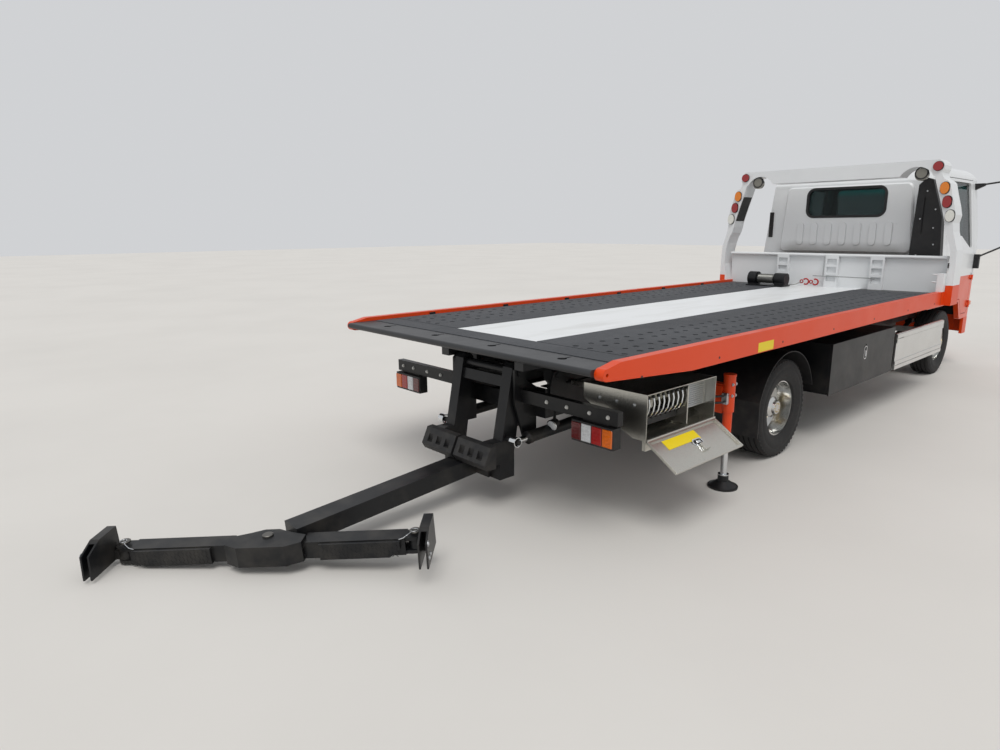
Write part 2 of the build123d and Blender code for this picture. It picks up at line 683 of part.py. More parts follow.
def make_rear_tyres(side):
    """The twin rear tyres."""
    y = REAR_OUTER_TRACK / 2
    return [flip(make_tyre(y), side), flip(make_tyre(y - TWIN_SPACING), side)]


def make_knuckle(side):
    """The fork round the axle's fist, with the wheel's spindle and a steering arm."""
    y = KINGPIN_TRACK / 2
    lug = FIST_HEIGHT / 2 + SLIDE_FIT
    bottom, top = TYRE_RADIUS - lug - 40, TYRE_RADIUS + lug + 40
    knuckle = block(WHEELBASE - 34, WHEELBASE + 34, y + 46, y + 74, bottom, top)
    for low, high in ((bottom, TYRE_RADIUS - lug), (TYRE_RADIUS + lug, top)):
        knuckle += post(WHEELBASE, y, low, high, 34)
        knuckle += block(WHEELBASE - 30, WHEELBASE + 30, y, y + 60, low, high)
    knuckle += cross_bar(WHEELBASE, TYRE_RADIUS, y + 60, FRONT_TRACK / 2 + SPINDLE_REACH, HUB_BORE)
    knuckle += block(WHEELBASE - 170, WHEELBASE - 20, y + 14, y + 34, bottom + 4, bottom + 36)
    knuckle -= Pos(WHEELBASE, y, TYRE_RADIUS) * Cylinder(KINGPIN_RADIUS + FIT, 400)
    return flip(knuckle, side)


# Pieces hung on the ladder frame

def make_fuel_tank():
    """The rounded fuel tank on the left rail, with two brackets."""
    y_low, y_high = FRAME_HALF_WIDTH + 40, FRAME_HALF_WIDTH + 40 + 2 * TANK_HALF
    top = TANK_BOTTOM + 2 * TANK_HALF
    x_low, x_high = TANK_X
    tank = end_form([(y_low, TANK_BOTTOM), (y_high, TANK_BOTTOM), (y_high, top), (y_low, top)], x_low, x_high,
                    round_by=70)
    for x in (x_low + 120, x_high - 120):
        tank += block(x - 30, x + 30, FRAME_HALF_WIDTH, y_low + 20, TANK_BOTTOM + 70, RAIL_TOP - 40)
    return tank


def make_side_toolbox():
    """The black toolbox under the right side of the bed, on two arms from the rail."""
    y_low, y_high = SIDE_BOX_Y[0] + SIDE_DOOR, SIDE_BOX_Y[1]
    wall = TOOLBOX_WALL
    box = block(*SIDE_BOX_X, y_low, y_high, *SIDE_BOX_Z)
    box -= block(SIDE_BOX_X[0] + wall, SIDE_BOX_X[1] - wall, y_low - 1, y_high - wall, SIDE_BOX_Z[0] + wall,
                 SIDE_BOX_Z[1] - wall)
    for x in (SIDE_BOX_X[0] + 250, SIDE_BOX_X[1] - 250):
        box += block(x - 30, x + 30, y_high, -FRAME_HALF_WIDTH, RAIL_BOTTOM + 50, RAIL_BOTTOM + 130)
    return box


def make_side_toolbox_door():
    """The front panel of the side toolbox, hinged along its bottom edge, with a sunk oval latch."""
    y = SIDE_BOX_Y[0]
    door = block(*SIDE_BOX_X, y, y + SIDE_DOOR - FIT, SIDE_BOX_Z[0] + 2, SIDE_BOX_Z[1])
    door += bar((SIDE_BOX_X[0], *SIDE_HINGE), (SIDE_BOX_X[1], *SIDE_HINGE), SIDE_HINGE_RADIUS)
    x = sum(SIDE_BOX_X) / 2
    door -= Pos(x, y, SIDE_LATCH_Z) * Rot(90, 0, 0) * extrude(Ellipse(34, 46), amount=8, both=True)
    return door + block(x - 10, x + 10, y + 1, y + 9, SIDE_LATCH_Z - 30, SIDE_LATCH_Z + 30)


def guard_panel(x_low, x_high):
    """One aluminium side guard: four ribbed slats on uprights, with a sheet behind."""
    z_low, z_high = GUARD_Z
    back = GUARD_Y - 30
    panel = block(x_low, x_high, GUARD_Y - 12, GUARD_Y - 8, z_low + 60, z_high - 60)
    for z in (z_low, z_low + 45, z_high - 90, z_high - 45):
        panel += block(x_low, x_high, back, GUARD_Y, z, z + 38)
        panel += block(x_low, x_high, back, GUARD_Y - 10, z + 37, z + 46)
    for x in (x_low, x_high - 40):
        panel += block(x, x + 40, back - 2, GUARD_Y - 8, z_low, z_high)
    for x in (x_low + 200, x_high - 260):
        panel += block(x, x + 60, FRAME_HALF_WIDTH, GUARD_Y - 12, RAIL_BOTTOM + 50, RAIL_BOTTOM + 110)
    return panel


def make_side_guards():
    """Side guards on both sides; the left one starts ahead of the tank."""
    return [mirror(guard_panel(*GUARD_X), about=Plane.XZ), guard_panel(TANK_X[1] + 60, GUARD_X[1])]


def make_rear_toolbox():
    """The stainless control box behind the right rear wheel, with its bank of levers."""
    x_low, x_high = REAR_BOX_X
    y_low, y_high = REAR_BOX_Y
    bottom, top = REAR_BOX_Z
    rim, step, slope, under = y_low + REAR_BOX_RIM, REAR_BOX_STEP, REAR_BOX_SLOPE, REAR_LID_Z - 5
    box = end_form(
        [(y_low, bottom), (y_low, top), (y_high, top), (y_high, under + (y_high - step) * slope), (step, under),
         (rim, under), (rim, bottom)], x_low, x_high)
    wall = REAR_BOX_WALL
    floor, back = REAR_LID_Z + 4, y_high - wall - 180
    rise = floor + (back - step) * slope
    box -= end_form([(y_low - 1, floor), (step, floor), (back, rise), (back, top - wall), (y_low - 1, top - wall)],
                    x_low + wall, x_high - wall)
    first = x_low + 60
    last = first + LEVER_PITCH * (LEVERS - 1)
    box += end_form([(back - 66, rise - 33), (back + 1, rise - 3), (back + 1, rise + 45), (back - 66, rise + 45)],
                    first - 20, last + 20)
    for place in range(LEVERS):
        x = first + LEVER_PITCH * place
        box += bar((x, back - 46, rise + 35), (x, back - 112, rise + 130), 6)
    for x in (x_low + 220, x_high - 150):
        box += block(x - 30, x + 30, y_high, -FRAME_HALF_WIDTH, RAIL_TOP - 20, RAIL_TOP + 10)
    return box


def make_rear_toolbox_lid():
    """The drop-down lid: a shallow tray with a latch, hanging open outwards and down."""
    x_low, x_high = REAR_BOX_X[0] + 2, REAR_BOX_X[1] - 2
    rim, skin = REAR_LID_RIM, REAR_LID_SKIN - 1 - REAR_LID
    lid = block(x_low, x_high, -REAR_LID_LENGTH, -4.5, -1 - REAR_LID, -1)
    lid -= block(x_low + rim, x_high - rim, rim - REAR_LID_LENGTH, -4.5 - rim, skin, 0)
    lid += block(x_low + 390, x_low + 450, 70 - REAR_LID_LENGTH, 120 - REAR_LID_LENGTH, skin - 1, 6)
    lid += bar((x_low, 0, 0), (x_high, 0, 0), REAR_HINGE)
    return Pos(0, REAR_BOX_Y[0] - REAR_HINGE - SLIDE_FIT, REAR_LID_Z) * Rot(REAR_LID_ANGLE, 0, 0) * lid


def make_mudguards():
    """Arched plastic guards over the twin wheels, with flaps behind and stays inboard."""
    y_low = TWIN_INNER + 4
    y_high = REAR_OUTER_TRACK / 2 + TYRE_WIDTH / 2 + 26
    skin = FENDER_SKIN
    edge = -sqrt(FENDER_RADIUS ** 2 - FENDER_CUT ** 2)
    top = TYRE_RADIUS + FENDER_RADIUS
    low = TYRE_RADIUS + FENDER_CUT
    guard = pipe((0, y_low, TYRE_RADIUS), (0, y_high, TYRE_RADIUS), FENDER_RADIUS, FENDER_RADIUS - skin)
    guard = guard & block(-FENDER_RADIUS, FENDER_RADIUS, y_low, y_high, low, top + 100)
    flap = block(edge, edge + skin + 1, y_low, y_high, 250, low + 1)
    stay_top = top - skin + 2
    stay = block(-20, 20, FRAME_HALF_WIDTH, y_low + 120, stay_top - 16, stay_top)
    stay += block(-20, 20, FRAME_HALF_WIDTH, FRAME_HALF_WIDTH + 20, RAIL_TOP - 100, stay_top)
    return both_sides(guard + flap + stay)


# Tail frame, lamps and stabiliser legs

def make_tail_frame():
    """Plates that carry the wheel lift's pivot, and the beam for the lamps."""
    low, x, z = RAIL_BOTTOM - 150, LIFT_PIVOT_X, LIFT_PIVOT_Z
    cheek = side_form(
        [(FRAME_REAR - 1, RAIL_TOP - 12), (FRAME_REAR - 1, low), (FRAME_REAR - 110, low), (x - 50, low + 260),
         (x - 50, z + 20), (x - 20, z + 50), (x + 20, z + 50), (x + 50, z + 20), (x + 50, z - 55)],
        CHEEK_Y, CHEEK_Y + CHEEK_PLATE)
    foot = block(FRAME_REAR - 20, FRAME_REAR, CHEEK_Y, FRAME_HALF_WIDTH, RAIL_BOTTOM, RAIL_TOP - 12)
    beam = block(TAIL_BEAM_X, TAIL_BEAM_X + 50, CHEEK_Y, LAMP_Y[1] + 6, *TAIL_BEAM_Z)
    tail = joined_sides(cheek + foot + beam)
    tail += block(FRAME_REAR - 20, FRAME_REAR, -CHEEK_Y - 1, CHEEK_Y + 1, RAIL_BOTTOM, RAIL_BOTTOM + 120)
    pin_end = CHEEK_Y + CHEEK_PLATE + 10
    return tail + cross_bar(x, z, -pin_end, pin_end, LIFT_PIN)


def make_tail_lamps():
    """Two lamp clusters under the ends of the tail beam."""
    lamp = block(LAMP_X, LAMP_X + 80, *LAMP_Y, *LAMP_Z)
    lamp = fillet(lamp.edges().filter_by(Axis.Z), 12)
    lamp += block(LAMP_X + 40, LAMP_X + 70, LAMP_Y[0] + 60, LAMP_Y[1] - 60, LAMP_Z[1], TAIL_BEAM_Z[0])
    return both_sides(lamp)


def make_stabiliser_barrels():
    """The tubes of the two stabiliser legs, flanged at the top, on arms from the frame."""
    barrel = pipe((LEG_X, LEG_Y, LEG_BOTTOM), (LEG_X, LEG_Y, LEG_STEP + 1), LEG_SLEEVE, LEG_GUIDE)
    barrel += pipe((LEG_X, LEG_Y, LEG_STEP), (LEG_X, LEG_Y, LEG_TOP), LEG_TUBE, LEG_GUIDE)
    barrel += pipe((LEG_X, LEG_Y, LEG_TOP), (LEG_X, LEG_Y, LEG_TOP + LEG_CAP), LEG_TUBE + 3, 10)
    inside = LEG_Y - LEG_GUIDE - 2
    barrel += block(LEG_X - 45, LEG_X + 45, FRAME_HALF_WIDTH, inside, RAIL_BOTTOM + 40, RAIL_BOTTOM + 150)
    barrel += block(LEG_X - 30, LEG_X + 30, LEG_Y - 115, inside, LEG_STEP - 15, LEG_TOP - 60)
    return both_sides(barrel)


def make_stabiliser_leg(side):
    """The rod of a stabiliser leg, on its round foot."""
    top = LEG_TOP - LEG_STROKE - 14
    leg = post(LEG_X, LEG_Y, 1, top, LEG_ROD)
    leg += post(LEG_X, LEG_Y, top - 90, top, LEG_GUIDE - FIT)
    leg += post(LEG_X, LEG_Y, 0, FOOT_PLATE, FOOT_RADIUS)
    leg += Pos(LEG_X, LEG_Y, FOOT_PLATE + FOOT_BELL / 2) * Cone(FOOT_RADIUS - 8, FOOT_COLLAR + 4, FOOT_BELL)
    leg += post(LEG_X, LEG_Y, FOOT_PLATE, FOOT_TOP, FOOT_COLLAR)
    return flip(leg, side)


# Tilt frame and its cylinders

def make_tilt_frame():
    """Two beams under the bed's runners, hinged at the rear, with cross tubes and lugs."""
    low, high = TILT_BEAM_Y
    top = RUNNER_BOTTOM - SLIDE_FIT
    rear, bottom = TILT_PIVOT_X - 36, TILT_BEAM_BOTTOM
    beam = side_form(
        [(rear, bottom + 28), (rear + 28, bottom), (TILT_FRONT, bottom), (TILT_FRONT, top), (rear, top)], low, high)
    frame = joined_sides(beam)
    for x in (TILT_PIVOT_X + 200, -300, 900, 2000, TILT_FRONT - 60):
        frame += block(x - 40, x + 40, -low, low, bottom + 20, top - 20)
    frame += block(TILT_LIFT_X - 50, TILT_LIFT_X + 50, -low, low, top - 26, top - 10)
    for side in (-1, 1):
        y = side * TILT_CYLINDER_Y
        for offset in (-TILT_EYE_HALF - 10, TILT_EYE_HALF + 10):
            frame += block(TILT_LIFT_X - 50, TILT_LIFT_X + 50, y + offset - 8, y + offset + 8, TILT_EYE_Z - 50,
                           top - 10)
    return frame - cross_bar(TILT_PIVOT_X, TILT_PIVOT_Z, -high - 50, high + 50, TILT_PIN_RADIUS + FIT)


def make_cylinder(base, eye, bores, y):
    """A barrel and a rod between a base pin and an eye pin, both across the truck."""
    barrel_radius, rod_radius, eye_radius, half_eye = bores
    run_x, run_z = eye[0] - base[0], eye[1] - base[1]
    length = hypot(run_x, run_z)

    def at(distance):
        return (base[0] + run_x * distance / length, y, base[1] + run_z * distance / length)

    barrel_end = length - 110
    bore = barrel_radius - BARREL_WALL
    barrel = bar(at(30), at(90), barrel_radius) + pipe(at(70), at(barrel_end), barrel_radius, bore)
    barrel += pipe(at(barrel_end - GLAND_LENGTH), at(barrel_end), barrel_radius + GLAND_LIP, rod_radius + FIT)
    barrel += cross_bar(*base, y - half_eye, y + half_eye, eye_radius)
    barrel -= cross_bar(*base, y - 200, y + 200, EYE_PIN + FIT)
    rod = bar(at(length / 2), at(length - 30), rod_radius)
    rod += bar(at(length / 2), at(length / 2 + 30), bore - FIT)
    rod += cross_bar(*eye, y - half_eye, y + half_eye, eye_radius)
    rod -= cross_bar(*eye, y - 200, y + 200, EYE_PIN + EYE_PLAY)
    return both_sides(barrel), both_sides(rod)


def make_tilt_cylinders():
    """The two cylinders that raise the tilt frame."""
    return make_cylinder((TILT_BASE_X, TILT_BASE_Z), (TILT_LIFT_X, TILT_EYE_Z),
                         (TILT_BARREL, TILT_ROD, TILT_EYE, TILT_EYE_HALF), TILT_CYLINDER_Y)


# Slide bed

def make_bed_frame():
    """The deck plate on cross bearers and two runners, with slots near its tail."""
    inner, low = DECK_HALF_WIDTH, PLATE_BOTTOM
    bed = block(BED_REAR + TAIL_EDGE, BED_FRONT, -inner, inner, low, DECK_TOP)
    bed += cross_bar(BED_REAR + TAIL_EDGE, DECK_TOP - TAIL_EDGE, -inner, inner, TAIL_EDGE)
    runner = block(BED_REAR + TAIL_SLOPE, BED_FRONT, RUNNER_CENTRE - RUNNER_WIDTH / 2,
                   RUNNER_CENTRE + RUNNER_WIDTH / 2, RUNNER_BOTTOM, low)
    bed += joined_sides(runner)
    start = BED_REAR + TAIL_SLOPE + 30
    pitch = (BED_FRONT - 70 - start) / (BEARERS - 1)
    for place in range(BEARERS):
        x = start + pitch * place
        bed += block(x - BEARER_WIDTH / 2, x + BEARER_WIDTH / 2, -inner, inner, low - BEARER_HEIGHT, low)
    bed += side_form(
        [(BED_REAR + TAIL_EDGE, low + 1), (BED_REAR + TAIL_EDGE, DECK_TOP - 2 * TAIL_EDGE),
         (BED_REAR + TAIL_SLOPE - 40, low - BEARER_HEIGHT), (BED_REAR + TAIL_SLOPE, low - BEARER_HEIGHT),
         (BED_REAR + TAIL_SLOPE, low + 1)], -inner, inner)
    for y in KEYHOLE_PLACES:
        bed -= post(KEYHOLE_X, y, DECK_TOP - 100, DECK_TOP + 1, KEYHOLE_RADIUS)
        bed -= block(KEYHOLE_X, KEYHOLE_X + KEYHOLE_LENGTH, y - KEYHOLE_SLOT / 2, y + KEYHOLE_SLOT / 2,
                     DECK_TOP - 100, DECK_TOP + 1)
    return bed


def make_lane_mats():
    """The black anti-slip lanes each side of the pale strip, with staggered holes, and the tail's mat."""
    edge, top = DECK_HALF_WIDTH - MAT_MARGIN, DECK_TOP + MAT_THICKNESS
    start = BED_REAR + 430
    middle = Pos((start + LANE_FRONT) / 2, (STRIP_HALF_WIDTH + edge) / 2)
    face = middle * Rectangle(LANE_FRONT - start, edge - STRIP_HALF_WIDTH)
    holes = []
    for row in range(int((LANE_FRONT - 60 - HOLE_START) / HOLE_PITCH) + 1):
        for x in (HOLE_START + row * HOLE_PITCH, HOLE_START + row * HOLE_PITCH + HOLE_STEP):
            if x < LANE_FRONT - HOLE_STEP / 2:
                holes += [Pos(x, y) * Circle(HOLE_RADIUS) for y in HOLE_COLUMNS]
    lane = Pos(0, 0, DECK_TOP) * extrude(face - holes, amount=MAT_THICKNESS, dir=(0, 0, 1))
    tail = block(BED_REAR + 230, BED_REAR + 420, -edge, edge, DECK_TOP, top)
    return both_sides(lane) + [tail]


def make_side_rails():
    """The side rails, tapered to a round tip at the tail, with a shoe outside for the arch."""
    low, top, front = SIDE_RAIL_BOTTOM, SIDE_RAIL_TOP, ARCH_REAR + ARCH_DEPTH
    inner, outer = DECK_HALF_WIDTH, BED_HALF_WIDTH
    x, z, radius = RAIL_TIP_X, RAIL_TIP_Z, RAIL_TIP_RADIUS
    rail = side_form(
        [(x, z - radius), (x - radius * 0.5, z + radius * 0.86), (BED_REAR + 180, top), (front, top), (front, low),
         (BED_REAR + 860, low)], inner, outer)
    rail += cross_bar(x, z, inner, outer, radius)
    rail -= cross_bar(x, z, inner - 1, outer + 1, RAIL_TIP_HOLE)
    return both_sides(rail + block(ARCH_REAR, front, outer, outer + SHOE_WIDTH, low, SHOE_TOP))


def make_headboard():
    """The bulkhead at the front of the bed, with a rolled lip, three pocketed posts and a stub post."""
    x, half, inner, top = BED_FRONT, HEADBOARD_HALF_WIDTH, DECK_HALF_WIDTH, HEADBOARD_TOP
    board = block(x, x + HEADBOARD_PLATE, -inner, inner, PLATE_BOTTOM, SIDE_RAIL_TOP)
    board += block(x, x + HEADBOARD_PLATE, -half, half, SIDE_RAIL_TOP, top)
    board += block(x, x + 50, -inner, inner, SIDE_RAIL_BOTTOM, DECK_TOP)
    board += block(x, x + 50, -half, half, top - 60, top)
    lip, face = HEADBOARD_LIP, x - POST_DEPTH
    board += block(face + lip, x + 1, -half, half, top - 2 * lip, top)
    board += cross_bar(face + lip, top - lip, -half, half, lip)
    for y in POST_PLACES:
        board += block(face, x + 1, y - POST_WIDTH / 2, y + POST_WIDTH / 2, DECK_TOP, top - lip)
        for z in POCKET_PLACES:
            board -= block(face - 1, face + POCKET_DEPTH, y - POCKET_WIDTH / 2, y + POCKET_WIDTH / 2,
                           z - POCKET_HEIGHT / 2, z + POCKET_HEIGHT / 2)
    foot, head = SIDE_RAIL_TOP, SIDE_RAIL_TOP + STUB_HEIGHT
    rear, front = STUB_X - STUB_HALF, STUB_X + STUB_HALF
    outer, hook_x = STUB_WALL - BED_HALF_WIDTH, STUB_X - STUB_HALF + STUB_WALL
    stub = block(rear, front, -BED_HALF_WIDTH, -inner, foot, head)
    stub -= block(rear + STUB_WALL, front + 1, outer, 1 - inner, foot + STUB_WALL, head - STUB_WALL)
    for z in (foot + 102, head - 12):
        stub += bar((hook_x, outer - 2, z), (hook_x, 45 - inner, z), STUB_WALL)
    return [board, stub]


def arch_outline():
    """Half of the arch seen from behind: its outer edge upwards, then its inner edge down."""
    edge, foot, top = BED_HALF_WIDTH, SIDE_RAIL_TOP, ARCH_TOP
    outer = [
        (edge, foot), (edge, SHOE_TOP), (edge + SHOE_WIDTH, SHOE_TOP), (edge + 67, top - 1060), (edge + 60, top - 930),
        (edge + 37, top - 850), (edge + 5, top - 740), (edge - 6, top - 650), (edge + 7, top - 570),
        (edge - 13, top - 480), (edge - 51, top - 350), (edge - 77, top - 247), (edge - 99, top - 220),
        (edge - 138, top - 197), (edge - 159, top - 160), (edge - 164, top - 134), (edge - 150, top - 100),
        (edge - 148, top - 60), (edge - 163, top - 28), (edge - 198, top)]
    inner = [
        (edge - 587, ARCH_UNDERSIDE), (edge - 232, top - 160), (edge - 215, top - 210), (edge - 191, top - 290),
        (edge - 155, top - 402), (edge - 117, top - 528), (edge - 92, top - 620), (edge - 82, top - 680),
        (edge - 63, top - 750), (edge - 37, top - 800), (edge - 10, top - 880), (edge + 10, top - 985),
        (edge + 14, top - 1144), (edge - 32, foot)]
    return outer, inner


def arch_recess(low, high):
    """The round hollow in the left haunch, carried along X."""
    y, z = BED_HALF_WIDTH + RECESS_Y, ARCH_TOP + RECESS_Z
    return bar((low, y, z), (high, y, z), RECESS_RADIUS)


def make_light_arch():
    """The arch over the headboard: two swept legs and a beam with hollowed haunches."""
    outer, inner = arch_outline()
    front = ARCH_REAR + ARCH_DEPTH
    half = end_form(outer + [(0, ARCH_TOP), (0, ARCH_UNDERSIDE)] + inner, ARCH_REAR, front)
    return joined_sides(half - arch_recess(ARCH_REAR - 1, front + 1))


def make_arch_lamps():
    """A round and three oval lamps on each leg of the arch, and a work light in each recess."""
    edge, top, rear = BED_HALF_WIDTH, ARCH_TOP, ARCH_REAR
    y, z = edge + ROUND_PLACE[0], top + ROUND_PLACE[1]
    lamps = both_sides(bar((rear - LAMP_DEPTH, y, z), (rear, y, z), ROUND_LAMP))
    for across, down in OVAL_PLACES:
        oval = Plane.YZ * Pos(edge + across, top + down) * Ellipse(*OVAL_LAMP)
        lamps += both_sides(Pos(rear, 0, 0) * extrude(oval, amount=LAMP_DEPTH, dir=(-1, 0, 0)))
    y, z = edge + WORK_PLACE[0], top + WORK_PLACE[1]
    bracket = block(rear + 30, rear + 55, y - 16, y + 16, z + WORK_LIGHT - 10, top)
    work_light = bar((rear + 20, y, z), (rear + 70, y, z), WORK_LIGHT)
    return lamps + both_sides(work_light + (bracket & arch_recess(rear, rear + ARCH_DEPTH)))


def make_winch_frame():
    """The winch's base, shaft and end housings, bolted to the deck at the left front."""
    foot = DECK_TOP + MAT_THICKNESS
    inside = DRUM_HALF + 10
    motor, gear = inside + 120, inside + 100
    frame = block(WINCH_X - 110, WINCH_X + 110, WINCH_Y - motor, WINCH_Y + gear, foot, foot + WINCH_BASE)
    frame += cross_bar(WINCH_X, WINCH_Z, WINCH_Y - motor - 5, WINCH_Y - inside + 5, 72)
    frame += cross_bar(WINCH_X, WINCH_Z, WINCH_Y + inside - 5, WINCH_Y + gear + 1, 82)
    for low, high in ((WINCH_Y - motor, WINCH_Y - inside), (WINCH_Y + inside, WINCH_Y + gear)):
        frame += block(WINCH_X - 60, WINCH_X + 60, low, high, foot + WINCH_BASE - 1, WINCH_Z)
    return frame + cross_bar(WINCH_X, WINCH_Z, WINCH_Y - inside, WINCH_Y + inside, WINCH_SHAFT)


def make_winch_drum():
    """The drum with its two flanges."""
    bore, half, cheek = WINCH_SHAFT + FIT, DRUM_HALF, DRUM_HALF - DRUM_CHEEK
    drum = round_profile([
        (bore, -half), (DRUM_FLANGE, -half), (DRUM_FLANGE, -cheek), (DRUM_RADIUS, -cheek), (DRUM_RADIUS, cheek),
        (DRUM_FLANGE, cheek), (DRUM_FLANGE, half), (bore, half)])
    return Pos(WINCH_X, WINCH_Y, WINCH_Z) * drum


# Wheel lift

def along_boom(shape):
    """Carries a shape from boom axes (X rearwards, Y right, Z up from its top) to the truck's."""
    place = Pos(BOOM_FOOT_X, 0, BOOM_FOOT_TOP) * Rot(0, -BOOM_SLOPE, 0) * Rot(0, 0, 180)
    return place * shape


def on_crossbar(shape):
    """Carries a shape from crossbar axes (X rearwards, Y right) to the truck's, swivelled."""
    return along_boom(Pos(CROSSBAR_PIVOT_REACH, 0, 0) * Rot(0, 0, CROSSBAR_SWIVEL) * shape)


def make_lift_mast():
    """Two leaning posts on the lift pivot, joined by plates, with the outer boom at their foot."""
    top_x, top_z, foot_x, foot_z = LIFT_PIVOT_X, LIFT_PIVOT_Z, BOOM_FOOT_X, BOOM_FOOT_TOP
    under = foot_z - BOOM_HEIGHT
    leg = side_form(
        [(top_x - 45, top_z + 30), (top_x - 20, top_z + 60), (top_x + 20, top_z + 60), (top_x + 45, top_z + 30),
         (top_x + 50, top_z - 60), (foot_x + 130, foot_z + 60), (foot_x + 130, under), (foot_x, under),
         (foot_x, foot_z + 40)], *POST_Y)
    saddle = block(PAD_X, foot_x + 60, *POST_Y, PAD_BOTTOM, PAD_TOP)
    mast = joined_sides(leg + saddle)
    low, high = -POST_Y[0], POST_Y[0]
    mast += side_form([(top_x - 40, top_z - 37), (top_x - 20, top_z - 37), (top_x - 36, top_z - 107),
                       (top_x - 54, top_z - 107)], low, high)
    mast += side_form([(foot_x + 100, foot_z + 40), (foot_x + 130, foot_z + 40), (foot_x + 130, under),
                       (foot_x + 100, under)], low, high)
    mast -= cross_bar(top_x, top_z, -400, 400, LIFT_PIN + FIT)
    half = BOOM_HALF_WIDTH
    boom = block(-90, OUTER_BOOM_LENGTH, -half, half, -BOOM_HEIGHT, 0)
    boom -= block(-80, OUTER_BOOM_LENGTH + 1, BOOM_WALL - half, half - BOOM_WALL, BOOM_WALL - BOOM_HEIGHT,
                  -BOOM_WALL)
    for side in (-1, 1):
        boom += block(-90, 30, side * (POST_Y[0] + 1), side * (half - 1), 4 - BOOM_HEIGHT, -6)
    mast += along_boom(boom)
    return mast + joined_sides(cross_bar(LIFT_EYE_X, LIFT_EYE_Z, POST_Y[1] - 1, LIFT_CYLINDER_Y + 40, EYE_PIN))


def make_step_pads():
    """Two moulded rubber pads on the mast's foot, with pockets in their upper faces."""
    x, low, high = PAD_X, PAD_BOTTOM, PAD_TOP
    pad = side_form([(x, low), (x - 74, low), (x - 98, low + 40), (x - 46, high - 4), (x, high)], 12, 338)
    for y in PAD_POCKETS:
        pad -= block(x - 110, x - 62, y - PAD_POCKET_HALF, y + PAD_POCKET_HALF, low + 62, low + 112)
    return both_sides(pad)


def make_lift_cylinders():
    """The two cylinders that raise the wheel lift."""
    return make_cylinder((LIFT_BASE_X, LIFT_BASE_Z), (LIFT_EYE_X, LIFT_EYE_Z),
                         (LIFT_BARREL, LIFT_ROD, LIFT_EYE, LIFT_EYE_HALF), LIFT_CYLINDER_Y)


def make_inner_boom():
    """The sliding boom, with the neck and pin that carry the crossbar."""
    wall = BOOM_WALL + SLIDE_FIT
    half = BOOM_HALF_WIDTH - wall
    boom = block(120, OUTER_BOOM_LENGTH, -half, half, wall - BOOM_HEIGHT, -wall)
    middle, reach = CROSSBAR_TOP - CROSSBAR_HEIGHT / 2, CROSSBAR_PIVOT_REACH
    boom += block(OUTER_BOOM_LENGTH - 30, reach, -half, half, middle - NECK / 2, middle + NECK / 2)
    boom += Pos(reach, 0, middle) * Cylinder(half, NECK)
    boom += Pos(reach, 0, middle) * Cylinder(SWIVEL_PIN, CROSSBAR_HEIGHT + 18)
    return along_boom(boom)


def make_crossbar():
    """The crossbar: a box each side of a chamfered hub that straddles the boom's neck."""
    top, bottom = CROSSBAR_TOP, CROSSBAR_TOP - CROSSBAR_HEIGHT
    middle, slot = (top + bottom) / 2, NECK / 2 + SLIDE_FIT
    hub, rear = HUB_LENGTH, HUB_REAR
    cover = [(-72, -40), (-72, 40), (-38, 110), (2, hub), (rear - 43, hub), (rear, hub - 82), (rear, 82 - hub),
             (rear - 43, -hub), (2, -hub), (-38, -110)]
    crossbar = plan_form(cover, middle + slot, top + HUB_COVER) + plan_form(cover, bottom, middle - slot)
    web = [(HUB_WEB, hub), (rear - 43, hub), (rear, hub - 82), (rear, 82 - hub), (rear - 43, -hub), (HUB_WEB, -hub)]
    crossbar += plan_form(web, middle - slot - 1, middle + slot + 1)
    for side in (-1, 1):
        ends = (side * (hub - 8), side * CROSSBAR_HALF_LENGTH)
        crossbar += block(-CROSSBAR_HALF_WIDTH, CROSSBAR_HALF_WIDTH, *ends, bottom, top)
    crossbar -= Pos(0, 0, middle) * Cylinder(SWIVEL_PIN + FIT, 400)
    for side in (-1, 1):
        for low, high in ((bottom, bottom + EAR_PLATE), (top - EAR_PLATE, top)):
            crossbar += block(-EAR_RADIUS, EAR_RADIUS, side * (CROSSBAR_HALF_LENGTH - 1), side * FORK_PIN, low, high)
            crossbar += post(0, side * FORK_PIN, low, high, EAR_RADIUS)
        crossbar += post(0, side * FORK_PIN, bottom, top, FORK_PIN_RADIUS)
        near, far = side * STEP_REACH[0], side * STEP_REACH[1]
        tread = [(near, bottom), (near, top - 6), (far, top - 6), (far, bottom + 45), (far - side * 60, bottom)]
        crossbar += end_form(tread, CROSSBAR_HALF_WIDTH - 1, CROSSBAR_HALF_WIDTH + STEP_DEPTH)
    return on_crossbar(crossbar)


def make_fork(side):
    """A fork holder: a channel across the crossbar's end, swivelling on its pin."""
    low = CROSSBAR_TOP - CROSSBAR_HEIGHT + EAR_PLATE + 2
    high = CROSSBAR_TOP - EAR_PLATE - 2
    fork = post(0, side * FORK_PIN, low, high, FORK_BOSS)
    fork += block(-30, 30, side * FORK_PIN, side * (FORK_FACE + FORK_WALL), low, high)
    end = FORK_LENGTH - 30
    y_low, y_high = sorted((side * FORK_FACE, side * (FORK_FACE + FORK_WIDTH)))
    fork += side_form(
        [(-30, FORK_TOP), (end / 2, FORK_TOP), (end - 15, FORK_TOP - 45), (end, low), (-30, low)], y_low, y_high)
    fork -= block(60, end + 1, y_low + FORK_WALL, y_high - FORK_WALL, low - 1, FORK_TOP - 12)
    fork -= Pos(0, side * FORK_PIN, 0) * Cylinder(FORK_PIN_RADIUS + FIT, 800)
    return on_crossbar(fork)


# Cab

